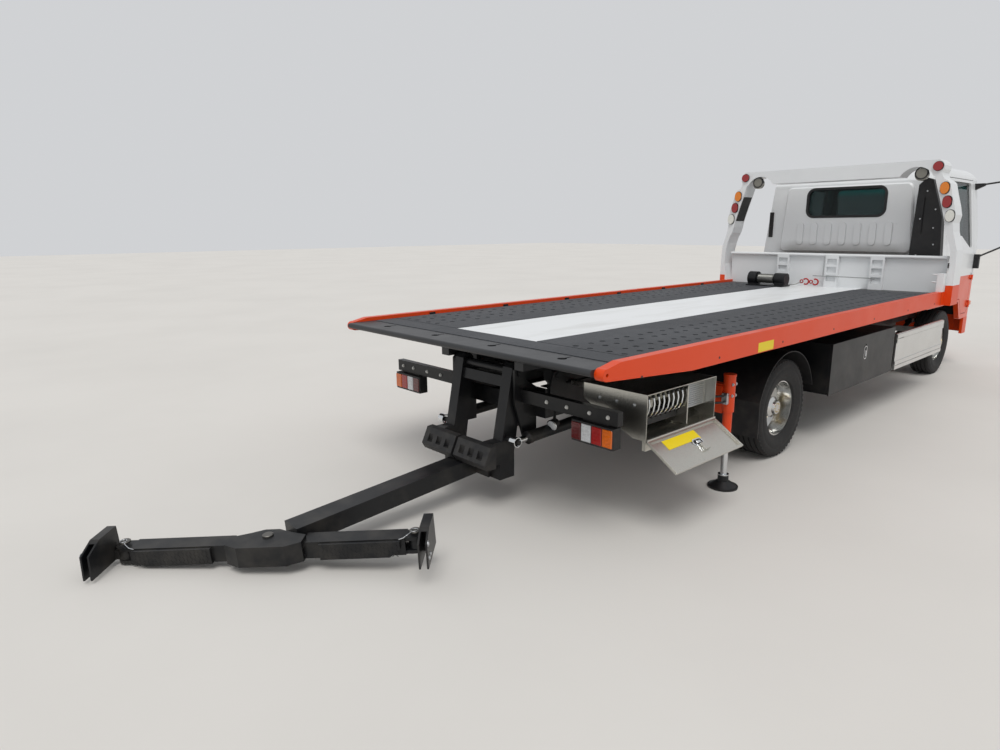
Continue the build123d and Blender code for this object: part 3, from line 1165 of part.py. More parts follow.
def cab_section(inset):
    """The cab's outline across, as a solid along X, drawn in by inset all round."""
    half, roof_half, roof = CAB_HALF_WIDTH - inset, CAB_ROOF_HALF_WIDTH - inset, CAB_ROOF - inset
    face = Polygon((-half, 300), (half, 300), (half, CAB_BELT), (roof_half, roof), (-roof_half, roof),
                   (-half, CAB_BELT), align=None)
    corners = face.vertices().sort_by(Axis.Y)[-2:]
    face = fillet(corners, CAB_ROOF_ROUND - inset * 0.5)
    length = FRONT_FACE - CAB_REAR + 1200
    return Pos(CAB_REAR - 600, 0, 0) * extrude(Plane.YZ * face, amount=length, dir=(1, 0, 0))


def cab_side(inset):
    """The cab's outline from the side, as a solid across, drawn in by inset."""
    rear, roof, bottom = CAB_REAR + inset, CAB_ROOF - inset, CAB_BOTTOM - inset
    points = [
        (rear, CAB_SILL + inset), (rear, CAB_ROOF - 180), (CAB_REAR + 130 + inset / 2, roof),
        (ROOF_FRONT - 190, roof), (ROOF_FRONT - inset, SCREEN_HEAD - inset / 2), (NOSE - inset, SCREEN_FOOT),
        (NOSE - inset, bottom), (STEP_REAR + STEP_SLOPE + inset, bottom), (STEP_REAR, CAB_SILL + inset)]
    return side_form(points, -1200, 1200, round_by=30)


def cab_plan(inset):
    """The cab's outline from above, with rounded front corners, drawn in by inset."""
    rear, front, half = CAB_REAR - 200, NOSE - inset, CAB_HALF_WIDTH - inset
    face = Pos((rear + front) / 2, 0) * Rectangle(front - rear, 2 * half)
    face = fillet(face.vertices().sort_by(Axis.X)[-2:], CAB_CORNER - inset)
    return extrude(face, amount=CAB_ROOF + 100, dir=(0, 0, 1))


def make_cab_shell():
    """Roof, rear wall, pillars, sides and front panel, with all the openings cut."""
    shell = cab_section(0) & cab_side(0) & cab_plan(0)
    shell -= cab_section(CAB_WALL) & cab_side(CAB_WALL) & cab_plan(CAB_WALL)
    shell += rear_bulge()
    shell -= block(CAB_REAR + CAB_WALL, FRONT_FACE - 85, -FLOOR_HALF, FLOOR_HALF, 500, CAB_FLOOR + 40)
    shell -= joined_sides(side_form(DOOR_OUTLINE, CAB_ROOF_HALF_WIDTH - 100, 1200, round_by=40))
    shell -= windscreen_form(-CAB_WALL * 3, 200, 0)
    shell -= rear_window_form(CAB_REAR - 50, CAB_REAR + 100, 0)
    return shell + joined_sides(cab_hinges())


def rear_bulge():
    """The pressed panel that stands out of the rear wall, with seven upright ribs."""
    rear, half = CAB_REAR - BULGE_DEPTH, BULGE_HALF_WIDTH
    face = Polygon((-half, BULGE_BOTTOM), (half, BULGE_BOTTOM), (half - 60, BULGE_TOP), (60 - half, BULGE_TOP),
                   align=None)
    face = fillet(face.vertices(), 70)
    bulge = Pos(rear, 0, 0) * extrude(Plane.YZ * face, amount=BULGE_DEPTH + 10, dir=(1, 0, 0))
    bulge = chamfer(bulge.faces().sort_by(Axis.X)[0].edges(), 16)
    length, middle = RIB_TOP - RIB_BOTTOM, (RIB_TOP + RIB_BOTTOM) / 2
    for place in range(RIBS):
        y = (place - (RIBS - 1) / 2) * RIB_PITCH
        rib = Plane.YZ * Pos(y, middle) * RectangleRounded(RIB_WIDTH, length, RIB_WIDTH / 2 - 1)
        bulge += Pos(rear - RIB_DEPTH, 0, 0) * extrude(rib, amount=RIB_DEPTH + 5, dir=(1, 0, 0))
    return bulge


def windscreen_form(inner, outer, inset):
    """The windscreen's outline, square to the glass, as a solid from inner to outer depth."""
    low, high = (NOSE, SCREEN_FOOT), (ROOF_FRONT, SCREEN_HEAD)
    length = hypot(high[0] - low[0], high[1] - low[1])
    lean = atan2(low[0] - high[0], high[1] - low[1])
    width = 2 * (CAB_ROOF_HALF_WIDTH - 75 - inset)
    face = Pos(0, length / 2, 0) * RectangleRounded(width, length - 150 - 2 * inset, 70)
    plate = Pos(0, 0, inner) * extrude(face, amount=outer - inner)
    return Plane(origin=(low[0], 0, low[1]), x_dir=(0, 1, 0), z_dir=(cos(lean), 0, sin(lean))) * plate


def rear_window_form(x_low, x_high, inset):
    """The rear window's rounded outline, carried along X."""
    width, height = REAR_WINDOW
    face = RectangleRounded(width - 2 * inset, height - 2 * inset, 80 - inset)
    return Pos(x_low, 0, REAR_WINDOW_Z) * extrude(Plane.YZ * face, amount=x_high - x_low)


def make_cab_glass():
    """The windscreen and the rear window, set in their openings."""
    screen = windscreen_form(-GLASS_SETBACK, GLASS - GLASS_SETBACK, FIT)
    return [screen, rear_window_form(CAB_REAR + GLASS_SETBACK, CAB_REAR + GLASS_SETBACK + GLASS, FIT)]


def make_cab_floor():
    """The cab's floor, raised over the engine, with toe plates and the arms to the cab's pivot."""
    half, under, front = FLOOR_HALF - FIT, CAB_FLOOR - FLOOR_PLATE, FRONT_FACE - 105
    toe_x, toe_z = STEP_REAR + 190, CAB_BOTTOM + 50
    floor = block(CAB_REAR + CAB_WALL + FIT, front, -half, half, under, CAB_FLOOR)
    toe = side_form(
        [(toe_x - 25, under), (toe_x, toe_z), (front, toe_z), (front, toe_z + 25), (toe_x + 22, toe_z + 25),
         (toe_x - 2, under)], -half, half)
    floor += toe - block(STEP_REAR, front + 1, -LUG_Y, LUG_Y, CAB_BOTTOM - 40, under - 1)
    for side in (-1, 1):
        floor += block(CAB_PIVOT_X - 40, CAB_PIVOT_X + 40, side * LUG_Y, side * (LUG_Y + LUG_PLATE),
                       CAB_PIVOT_Z - 36, CAB_FLOOR - 20)
    return floor - cross_bar(CAB_PIVOT_X, CAB_PIVOT_Z, -600, 600, CAB_PIN + FIT)


def make_cab_interior():
    """Two seats and the dashboard with the steering column."""
    x, z = CAB_REAR + 420, CAB_FLOOR
    seat = side_form(
        [(x, z), (x + 560, z), (x + 560, z + 340), (x + 120, z + 300), (x + 20, z + 970), (x - 100, z + 970),
         (x - 60, z + 250), (x, z + 210)], SEAT_Y - 240, SEAT_Y + 240, round_by=18)
    front, half = FRONT_FACE - 145, FLOOR_HALF - 65
    dash = side_form([(front - 320, 1180), (front, 1180), (front, 1400), (front - 100, 1440), (front - 260, 1420)],
                     -half, half, round_by=18)
    dash += block(front - 40, front + 30, -half, half, 1100, 1300)
    dash += bar((STEER_FOOT[0], SEAT_Y, STEER_FOOT[1]), (STEER_END[0], SEAT_Y, STEER_END[1]), 30)
    dash += block(front - 20, front + 35, -300, 300, CAB_FLOOR, 1180)
    return [*both_sides(seat), dash]


def make_steering_wheel():
    """The steering wheel: rim, hub and three spokes."""
    wheel = Torus(STEER_RADIUS, STEER_GRIP) + Cylinder(48, 2 * STEER_HUB_HALF)
    for turn in (90, 210, 330):
        wheel += Rot(0, 0, turn) * Pos(STEER_RADIUS / 2, 0, 0) * Box(STEER_RADIUS - 10, 34, 12)
    lean = radians(STEER_LEAN)
    axis = Plane(origin=(STEER_END[0], SEAT_Y, STEER_END[1]), x_dir=(0, 1, 0), z_dir=(-sin(lean), 0, cos(lean)))
    return axis * Pos(0, 0, STEER_HUB_HALF + FIT) * wheel


def make_door(side):
    """A door as thick as the cab's wall, its window cut, with a handle and two hinges."""
    door = (cab_section(0) - cab_section(CAB_WALL)) & side_form(door_edge(CLEARANCE + 1), 700, 1200, round_by=34)
    door -= window_form(700, 1200, 0)
    y = CAB_HALF_WIDTH
    door += block(DOOR_REAR + 90, DOOR_REAR + 240, y - 2, y + 18, CAB_BELT - 190, CAB_BELT - 155)
    for z in HINGE_PLACES:
        door += block(HINGE_X - 70, HINGE_X - 4, y - 1, y + HINGE_LEAF, z - 24, z + 24)
        door += post(HINGE_X, HINGE_Y, z - 24, z + 24, HINGE_RADIUS)
        door -= post(HINGE_X, HINGE_Y, z - 50, z + 50, HINGE_PIN + FIT)
    return flip(door, side)


def cab_hinges():
    """The fixed leaves and pins of the left door's two hinges."""
    leaves = None
    y, barrel = CAB_HALF_WIDTH, 19
    for z in HINGE_PLACES:
        leaf = block(HINGE_X + 14, HINGE_X + 70, y - 1, y + HINGE_LEAF, z - 44, z + 44)
        for low in (z - 44, z + 44 - barrel):
            leaf += block(HINGE_X, HINGE_X + 20, y + 1, HINGE_Y, low, low + barrel)
            leaf += post(HINGE_X, HINGE_Y, low, low + barrel, HINGE_RADIUS)
        leaf += post(HINGE_X, HINGE_Y, z - 40, z + 40, HINGE_PIN)
        leaves = leaf if leaves is None else leaves + leaf
    return leaves


def door_edge(gap):
    """The door's outline drawn in by a gap on every side."""
    moves = ((gap, gap), (gap - 2, gap), (gap - 2, gap), (-gap, gap), (-gap, 0), (2 - gap, -gap), (gap, -gap))
    return [(x + dx, z + dz) for (x, z), (dx, dz) in zip(DOOR_OUTLINE, moves)]


def window_form(y_low, y_high, inset):
    """The door window's outline, carried across."""
    moves = ((inset, inset), (0, inset), (-inset, inset), (-inset, -inset), (inset, -inset))
    points = [(x + dx, z + dz) for (x, z), (dx, dz) in zip(WINDOW_OUTLINE, moves)]
    return side_form(points, y_low, y_high, round_by=40)


def make_door_glass(side):
    """The glass of a door, following the slope of the cab's side."""
    glass = cab_section(GLASS_SETBACK) - cab_section(GLASS_SETBACK + GLASS)
    return flip(glass & window_form(700, 1200, FIT), side)


def make_mirror(side):
    """Two mirror heads on an upright rod, stayed from two feet on the corner pillar."""
    x_low, x_high = MIRROR_FOOT_X
    foot_x, rod_x, y, arm = (x_low + x_high) / 2, MIRROR_X, MIRROR_Y, MIRROR_ARM
    low, high = MIRROR_Z
    head = block(rod_x - 40, rod_x + 35, y - 90, y + 90, low, MIRROR_SPLIT - 10)
    head += block(rod_x - 40, rod_x + 35, y - 90, y + 90, MIRROR_SPLIT + 10, high)
    head = fillet(head.edges().filter_by(Axis.Z), 25)
    head += post(rod_x, y, low - 30, high + 80, arm)
    out = CAB_HALF_WIDTH + MIRROR_FOOT
    foot_low, foot_high = MIRROR_LOW_FOOT
    head += block(x_low, x_high, CAB_HALF_WIDTH, out, foot_low, foot_high)
    head += bar((foot_x, out - 20, foot_high - 30), (rod_x, y, low - 20), arm)
    foot_low, foot_high = MIRROR_HIGH_FOOT
    wall_low, wall_high = [CAB_HALF_WIDTH - (z - CAB_BELT) * SIDE_LEAN for z in MIRROR_HIGH_FOOT]
    head += end_form([(wall_low, foot_low), (out - 50, foot_high - 30), (out - 50, foot_high), (wall_high, foot_high)],
                     x_low, x_high)
    head += bar((foot_x, out - 70, foot_high - 15), (rod_x, y, high + 70), arm)
    return flip(head, side)


def make_headlamps():
    """The headlamps at the corners of the front panel."""
    return both_sides(block(NOSE, FRONT_FACE - 4, CAB_HALF_WIDTH - 460, CAB_HALF_WIDTH - 150, CAB_BOTTOM + 150,
                            CAB_BOTTOM + 320))


def make_front_bumper():
    """The bumper below the front panel, wrapped round the corners."""
    half, x = CAB_HALF_WIDTH, FRONT_FACE
    left = [(x, half - 150), (x - 25, half - 75), (x - 85, half - 20), (x - 170, half + 4), (x - 330, half + 4),
            (x - 330, half - 30), (x - 170, half - 34), (x - 110, half - 60), (x - 70, half - 160)]
    right = [(x_at, -y) for x_at, y in reversed(left)]
    return plan_form(left + right, CAB_BOTTOM - BUMPER_HEIGHT, CAB_BOTTOM)


def make_intake_duct():
    """The tall intake panel behind the cab, on its right side, on two brackets."""
    edge, top = -CAB_HALF_WIDTH, CAB_ROOF
    duct = end_form(
        [(edge + 210, top - 1265), (edge + 210, top - 1015), (edge + 190, top - 245), (edge + 120, top - 170),
         (edge + 55, top - 195), (edge - 70, top - 595), (edge - 100, top - 1015), (edge - 100, top - 1265)],
        DUCT_X, DUCT_X + DUCT_DEPTH)
    duct -= block(DUCT_X - 1, DUCT_X + 12, edge + 105, edge + 119, top - 775, top - 385)
    for z in (top - 515, top - 1015):
        duct += block(DUCT_X + DUCT_DEPTH - 1, CAB_REAR, edge + 120, edge + 180, z, z + 60)
    return duct


def main():
    """Builds every sub-part, moves it to the truck's own origin and writes it."""
    os.makedirs("parts", exist_ok=True)
    tilt_barrels, tilt_rods = make_tilt_cylinders()
    lift_barrels, lift_rods = make_lift_cylinders()
    parts = {
        "chassis_frame": make_chassis_frame(),
        "engine_block": make_engine_block(),
        "front_axle": make_front_axle(),
        "rear_axle": make_rear_axle(),
        "fuel_tank": make_fuel_tank(),
        "tail_frame": make_tail_frame(),
        "tail_lamps": make_tail_lamps(),
        "rear_toolbox": make_rear_toolbox(),
        "rear_toolbox_lid": make_rear_toolbox_lid(),
        "side_toolbox": make_side_toolbox(),
        "side_toolbox_door": make_side_toolbox_door(),
        "side_guards": make_side_guards(),
        "mudguards": make_mudguards(),
        "stabiliser_barrels": make_stabiliser_barrels(),
        "cab_shell": make_cab_shell(),
        "cab_floor": make_cab_floor(),
        "cab_glass": make_cab_glass(),
        "cab_interior": make_cab_interior(),
        "steering_wheel": make_steering_wheel(),
        "headlamps": make_headlamps(),
        "front_bumper": make_front_bumper(),
        "intake_duct": make_intake_duct(),
        "tilt_frame": make_tilt_frame(),
        "tilt_barrels": tilt_barrels,
        "tilt_rods": tilt_rods,
        "bed_frame": make_bed_frame(),
        "lane_mats": make_lane_mats(),
        "side_rails": make_side_rails(),
        "headboard": make_headboard(),
        "light_arch": make_light_arch(),
        "arch_lamps": make_arch_lamps(),
        "winch_frame": make_winch_frame(),
        "winch_drum": make_winch_drum(),
        "lift_mast": make_lift_mast(),
        "step_pads": make_step_pads(),
        "lift_barrels": lift_barrels,
        "lift_rods": lift_rods,
        "inner_boom": make_inner_boom(),
        "crossbar": make_crossbar(),
    }
    for name, side in (("left", 1), ("right", -1)):
        parts[f"stabiliser_leg_{name}"] = make_stabiliser_leg(side)
        parts[f"knuckle_{name}"] = make_knuckle(side)
        parts[f"front_tyre_{name}"] = flip(Pos(WHEELBASE, 0, 0) * make_tyre(FRONT_TRACK / 2), side)
        parts[f"front_wheel_{name}"] = make_front_wheel(side)
        parts[f"rear_tyres_{name}"] = make_rear_tyres(side)
        parts[f"rear_wheels_{name}"] = make_rear_wheels(side)
        parts[f"door_{name}"] = make_door(side)
        parts[f"door_glass_{name}"] = make_door_glass(side)
        parts[f"mirror_{name}"] = make_mirror(side)
        parts[f"fork_{name}"] = make_fork(-side)
    shift = Pos(ORIGIN_SHIFT, 0, 0)
    for name, part in parts.items():
        pieces = part if isinstance(part, list) else [part]
        moved = [shift * piece for piece in pieces]
        whole = moved[0] if len(moved) == 1 else Compound(children=moved)
        export_step(whole, f"parts/{name}.step")


# The furthest point to the rear is the outer corner of the left fork, and the origin lies
# halfway between it and the bumper's front.
SWIVEL = radians(CROSSBAR_SWIVEL)
FORK_REACH = (FORK_FACE + FORK_WIDTH) * sin(SWIVEL) + (FORK_LENGTH - 40) * cos(SWIVEL)
REAR_FACE = BOOM_FOOT_X - (CROSSBAR_PIVOT_REACH + FORK_REACH) * cos(radians(BOOM_SLOPE))
ORIGIN_SHIFT = -(FRONT_FACE + REAR_FACE) / 2

if __name__ == "__main__":
    main()
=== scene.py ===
from math import cos, pi, radians, sin

import bpy
from mathutils import Matrix, Vector


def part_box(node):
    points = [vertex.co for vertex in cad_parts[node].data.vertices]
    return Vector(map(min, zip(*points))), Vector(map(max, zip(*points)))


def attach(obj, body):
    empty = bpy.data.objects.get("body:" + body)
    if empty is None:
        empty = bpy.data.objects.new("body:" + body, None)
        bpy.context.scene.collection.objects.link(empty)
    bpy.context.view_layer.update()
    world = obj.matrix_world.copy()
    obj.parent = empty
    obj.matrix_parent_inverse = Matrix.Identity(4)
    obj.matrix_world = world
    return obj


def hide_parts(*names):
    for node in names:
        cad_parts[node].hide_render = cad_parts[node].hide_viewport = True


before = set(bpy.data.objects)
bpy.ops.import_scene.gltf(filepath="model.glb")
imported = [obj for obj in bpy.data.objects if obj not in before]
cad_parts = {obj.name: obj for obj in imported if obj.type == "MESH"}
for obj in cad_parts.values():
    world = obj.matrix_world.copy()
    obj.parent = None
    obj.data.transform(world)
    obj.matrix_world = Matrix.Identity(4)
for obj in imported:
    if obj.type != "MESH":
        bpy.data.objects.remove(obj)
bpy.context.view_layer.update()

# Places taken from the frame. X runs forward, Y to the left and Z up.
REAR_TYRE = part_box("rear_tyres_right")
FRONT_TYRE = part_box("front_tyre_right")
AXLE_X = (REAR_TYRE[0].x + REAR_TYRE[1].x) / 2
STEER_AXLE_X = (FRONT_TYRE[0].x + FRONT_TYRE[1].x) / 2
TYRE_RADIUS = (REAR_TYRE[1].z - REAR_TYRE[0].z) / 2
DECK_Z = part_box("bed_frame")[1].z
MAT_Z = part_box("lane_mats")[1].z
PAINT_SPLIT_Z = 1.20

# The camera of the photograph, its place measured from the rear axle at ground level.
CAMERA_FROM_AXLE = (-5.1186, -3.3589, 1.8139)
YAW, PITCH, ROLL = radians(47.837), radians(-12.372), radians(-0.329)
FOCAL_PIXELS = 664.89
PHOTO_WIDTH = 1000
SENSOR = 36.0


def linear(colour):
    """A colour given as 0 to 255, as the renderer counts light."""
    parts = [value / 255 for value in colour]
    return tuple(p / 12.92 if p <= 0.04045 else ((p + 0.055) / 1.055) ** 2.4 for p in parts)


# Mesh building

def turns(count, shift=0.0):
    """Angles of places spaced evenly round a circle."""
    return [2 * pi * (number + shift) / count for number in range(count)]


class Shape:
    """Collects simple forms in the truck's own frame, then becomes one mesh."""

    def __init__(self):
        self.verts = []
        self.faces = []

    def add(self, verts, faces, matrix=None):
        """Adds points and faces, moved by a matrix if there is one."""
        start = len(self.verts)
        for vert in verts:
            self.verts.append(matrix @ Vector(vert) if matrix else Vector(vert))
        for face in faces:
            self.faces.append(tuple(start + index for index in face))
        return self

    def box(self, low, high, edge=0.002, matrix=None):
        """A box with chamfered edges: each corner is a triangle, with one point on each side."""
        edge = min(edge, min(high[axis] - low[axis] for axis in range(3)) * 0.3)
        verts, faces = [], []
        for corner in range(8):
            ends = [corner >> axis & 1 for axis in range(3)]
            outer = [high[axis] if end else low[axis] for axis, end in enumerate(ends)]
            inner = [far + (-edge if end else edge) for far, end in zip(outer, ends)]
            for axis in range(3):
                verts.append([outer[k] if k == axis else inner[k] for k in range(3)])
        others = ((1, 2), (0, 2), (0, 1))
        for axis, (one, two) in enumerate(others):
            for end in (0, 1):
                ring = [3 * (end << axis | a << one | b << two) + axis
                        for a, b in ((0, 0), (1, 0), (1, 1), (0, 1))]
                faces.append(ring[::-1] if (end == 1) == (axis == 1) else ring)
        for axis, (one, two) in enumerate(others):
            for a, b in ((0, 0), (0, 1), (1, 0), (1, 1)):
                first = 3 * (a << one | b << two)
                second = first + (3 << axis)
                faces.append((first + one, second + one, second + two, first + two))
        faces += [(3 * corner, 3 * corner + 1, 3 * corner + 2) for corner in range(8)]
        return self.add(verts, faces, matrix)

    def rod(self, start, end, radius, sides, edge):
        """A round bar with chamfered rims."""
        run = Vector(end) - Vector(start)
        length = run.length
        edge = min(edge, radius * 0.4, length * 0.3)
        profile = [(radius - edge, 0), (radius, edge), (radius, length - edge),
                   (radius - edge, length)]
        return self.turned(profile, start, run, sides)

    def turned(self, profile, origin, axis, sides=24, ring=False):
        """An outline of (radius, distance along the axis), turned about the axis."""
        lean = Vector(axis).to_track_quat("Z", "Y").to_matrix().to_4x4()
        verts = []
        for radius, along in profile:
            verts += [(radius * cos(turn), radius * sin(turn), along) for turn in turns(sides)]
        return self.add(verts, self.skin(len(profile), sides, ring),
                        Matrix.Translation(Vector(origin)) @ lean)

    def plate(self, outline, origin, across, up, depth, hole=()):
        """An outline of (across, up) pairs given a depth, round a hole of as many points."""
        a, b = Vector(across).normalized(), Vector(up).normalized()
        n, count = a.cross(b), len(outline)
        verts = [Vector(origin) + a * x + b * y + n * lift
                 for points in (outline, hole) for lift in (0.0, depth) for x, y in points]
        faces = [] if hole else [tuple(reversed(range(count))), tuple(range(count, 2 * count))]
        for i in range(count):
            j = (i + 1) % count
            faces.append((i, j, count + j, count + i))
            if hole:
                faces += [(2 * count + j, 2 * count + i, 3 * count + i, 3 * count + j),
                          (j, i, 2 * count + i, 2 * count + j),
                          (count + i, count + j, 3 * count + j, 3 * count + i)]
        return self.add(verts, faces)

    def tube(self, path, radius, sides=10, closed=False):
        """A round tube that follows a path."""
        points = [Vector(p) for p in path]
        count = len(points)
        verts = []
        normal = None
        for i, point in enumerate(points):
            before = points[i - 1] if i or closed else point
            after = points[(i + 1) % count] if i < count - 1 or closed else point
            run = (after - before).normalized()
            if normal is None:
                normal = run.orthogonal().normalized()
            normal = (normal - run * normal.dot(run)).normalized()
            other = run.cross(normal)
            verts += [point + (normal * cos(turn) + other * sin(turn)) * radius
                      for turn in turns(sides)]
        return self.add(verts, self.skin(count, sides, closed))

    @staticmethod
    def skin(rows, sides, closed):
        """Faces over rings of points, round to the first ring or with a cap at each end."""
        faces = []
        for row in range(rows if closed else rows - 1):
            here, there = row * sides, ((row + 1) % rows) * sides
            for side in range(sides):
                after = (side + 1) % sides
                faces.append((here + side, here + after, there + after, there + side))
        if not closed:
            faces.append(tuple(reversed(range(sides))))
            faces.append(tuple((rows - 1) * sides + side for side in range(sides)))
        return faces

    def ball(self, centre, radius):
        """A ball with small flats at its poles."""
        rings, sides, flat = 8, 12, 0.01
        tilts = [pi * ring / rings for ring in range(rings + 1)]
        profile = [(radius * max(sin(tilt), flat), -radius * cos(tilt)) for tilt in tilts]
        return self.turned(profile, centre, (0, 0, 1), sides)

    def bolt(self, place, axis, radius, height):
        """A hexagon head with a chamfered top, on a washer."""
        base = radius * 0.22
        corner, top = radius * 1.12, radius * 0.9
        self.turned([(radius * 1.45, 0), (radius * 1.45, base)], place, axis, 16)
        self.turned([(corner, base), (corner, base + height * 0.85), (top, base + height)],
                    place, axis, 6)


def arc(centre, radius, start, stop, steps):
    """Points on an arc across the truck, in degrees from the left."""
    x, y, z = centre
    points = []
    for step in range(steps + 1):
        turn = radians(start + (stop - start) * step / steps)
        points.append((x, y + radius * cos(turn), z + radius * sin(turn)))
    return points


def place(name, shape, body, finish, slot=None, crease=35):
    """Turns a shape into one object that rides on a body. The slot is not used."""
    mesh = bpy.data.meshes.new(name)
    mesh.from_pydata(shape.verts, [], shape.faces)
    mesh.update()
    mesh.shade_smooth()
    mesh.set_sharp_from_angle(angle=radians(crease))
    piece = bpy.data.objects.new(name, mesh)
    bpy.context.scene.collection.objects.link(piece)
    mesh.materials.append(look[finish])
    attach(piece, body)
    return piece


def smooth_path(points):
    """A curve through every point, turned into short straight runs."""
    steps = 8
    points = [Vector(p) for p in points]
    ends = [points[0] * 2 - points[1]] + points + [points[-1] * 2 - points[-2]]
    path = []
    for i in range(1, len(ends) - 2):
        a, b, c, d = ends[i - 1:i + 3]
        for step in range(steps):
            t = step / steps
            path.append(0.5 * (2 * b + (c - a) * t + (2 * a - 5 * b + 4 * c - d) * t ** 2
                               + (3 * b - a - 3 * c + d) * t ** 3))
    return path + [points[-1]]


def hang(name, points, radius, body, finish, slot=None):
    """A free rope or hose along a smooth curve."""
    path = smooth_path(points)
    piece = place(name, Shape().tube(path, radius, sides=12), body, finish, slot)


# Materials

# The two colour inputs and the colour output of a Mix node.
MIX_UNDER, MIX_OVER, MIX_RESULT = 6, 7, 2

look = {}


class Finish:
    """A procedural material, built up from a few layers, and kept in look by its name."""

    def __init__(self, name, colour, roughness, metallic=0.0, **sockets):
        self.material = look[name] = bpy.data.materials.new(name)
        self.material.use_nodes = True
        self.tree = self.material.node_tree
        self.shader = self.tree.nodes["Principled BSDF"]
        self.colour = (*linear(colour), 1)
        self.fill(self.shader, {"Base Color": self.colour, "Roughness": roughness,
                                "Metallic": metallic})
        self.fill(self.shader, {name.replace("_", " "): value for name, value in sockets.items()})
        self.coords = self.node("ShaderNodeTexCoord", {}).outputs["Object"]

    def fill(self, node, inputs):
        """Links each input to the output given for it, or sets it to the value."""
        for name, value in inputs.items():
            if isinstance(value, bpy.types.NodeSocket):
                self.tree.links.new(value, node.inputs[name])
            else:
                node.inputs[name].default_value = value

    def node(self, kind, inputs, **settings):
        """A new node with its settings and inputs."""
        made = self.tree.nodes.new(kind)
        for key, value in settings.items():
            setattr(made, key, value)
        self.fill(made, inputs)
        return made

    def noise(self, scale, detail=4, stretch=(1, 1, 1)):
        """A noise in the object's own coordinates, scale in features to the metre."""
        mapping = self.node("ShaderNodeMapping", {"Scale": stretch, "Vector": self.coords})
        made = self.node("ShaderNodeTexNoise", {"Scale": scale, "Detail": detail, "Roughness": 0.55,
                                                "Vector": mapping.outputs["Vector"]})
        return made.outputs["Fac"]

    def levels(self, value, low, high, to_low=0.0, to_high=1.0):
        """Stretches a value between low and high, and stops it there."""
        made = self.node("ShaderNodeMapRange", {"From Min": low, "From Max": high, "To Min": to_low,
                                                "To Max": to_high, "Value": value})
        return made.outputs["Result"]

    def patches(self, scale, detail, low, high, stretch=(1, 1, 1)):
        """Patches of noise: nothing below the low level, and full above the high one."""
        return self.levels(self.noise(scale, detail, stretch), low, high)

    def where(self, axis, none_at, full_at):
        """Nothing up to one place along an axis, and full from the other on."""
        return self.levels(self.part(axis), none_at, full_at)

    def maths(self, operation, one, two):
        made = self.node("ShaderNodeMath", {0: one, 1: two}, operation=operation)
        return made.outputs["Value"]

    def both(self, one, two):
        """Where two factors hold at once."""
        return self.maths("MULTIPLY", one, two)

    def part(self, axis):
        """One of the object's own coordinates."""
        return self.node("ShaderNodeSeparateXYZ", {"Vector": self.coords}).outputs[axis]

    def from_middle(self, outer, inner):
        """Nothing beyond the outer distance from the middle, and full within the inner one."""
        return self.levels(self.maths("ABSOLUTE", self.part("Y"), 0), outer, inner)

    def layer(self, factor, colour, strength=1.0, share=1.0):
        """Lays a share of a colour over what is there, as much as factor says."""
        over = (*(part * share for part in linear(colour)), 1)
        mix = self.node("ShaderNodeMix", {MIX_UNDER: self.colour, MIX_OVER: over}, data_type="RGBA")
        if strength != 1.0:
            factor = self.maths("MULTIPLY", factor, strength)
        self.fill(mix, {"Factor": factor})
        self.colour = mix.outputs[MIX_RESULT]
        self.fill(self.shader, {"Base Color": self.colour})

    def dusty(self, none_at, full_at, patches, strength):
        """Dust in patches, more of it lower down."""
        low = self.where("Z", none_at, full_at)
        self.layer(self.both(low, self.patches(*patches)), DUST, strength)

    def worn(self, factor, low, high):
        """Roughness between two values, as factor says."""
        self.fill(self.shader, {"Roughness": self.levels(factor, 0.0, 1.0, low, high)})

    def relief(self, height, strength, distance=0.001, round_edges=0.0):
        """Bump from a height, over edges that look softened by a small radius."""
        bump = self.node("ShaderNodeBump", {"Strength": strength, "Distance": distance,
                                            "Height": height})
        if round_edges:
            bevel = self.node("ShaderNodeBevel", {"Radius": round_edges}, samples=4)
            self.fill(bump, {"Normal": bevel.outputs["Normal"]})
        self.fill(self.shader, {"Normal": bump.outputs["Normal"]})


WHITE = (226, 228, 229)
ORANGE = (219, 66, 8)
BLACK = (17, 18, 20)
DUST = (150, 142, 130)


def painted(name, colour, shade, roughness, edges=0.002, dusty=0.25):
    """Sprayed paint: faint mottling, orange-peel and dust that lies low and in patches."""
    paint = Finish(name, colour, roughness, Coat_Weight=0.12, Coat_Roughness=0.15,
                   Specular_IOR_Level=0.3)
    paint.layer(paint.patches(1.3, 5, 0.35, 0.75), shade, 0.5)
    paint.dusty(1.0, 0.2, (6, 6, 0.45, 0.75), dusty)
    paint.worn(paint.noise(4, 5), roughness - 0.08, roughness + 0.14)
    paint.relief(paint.noise(900, 2), 0.04, 0.001, edges)


def bare_metal(name, colour, roughness, stretch=(1, 1, 1), grain=140, stain=0.25):
    """Metal left bare, brushed along one direction."""
    metal = Finish(name, colour, roughness, 1.0)
    metal.layer(metal.patches(3, 6, 0.45, 0.8), colour, stain, 0.62)
    brushed = metal.noise(grain, 3, stretch)
    metal.worn(brushed, roughness - 0.1, roughness + 0.12)
    metal.relief(brushed, 0.06, 0.0006, 0.001)


def moulded(name, colour, roughness, grain=1400, bump=0.12, edges=0.0015, dusty=0.3):
    """Rubber or plastic with a fine grain, and pale dust in patches, more of it lower down."""
    stuff = Finish(name, colour, roughness)
    stuff.layer(stuff.patches(7, 6, 0.45, 0.8), DUST, dusty * 0.4)
    stuff.dusty(0.9, 0.05, (14, 5, 0.4, 0.7), dusty)
    stuff.worn(stuff.noise(20, 4), roughness - 0.08, roughness + 0.1)
    stuff.relief(stuff.noise(grain, 2), bump, 0.001, edges)


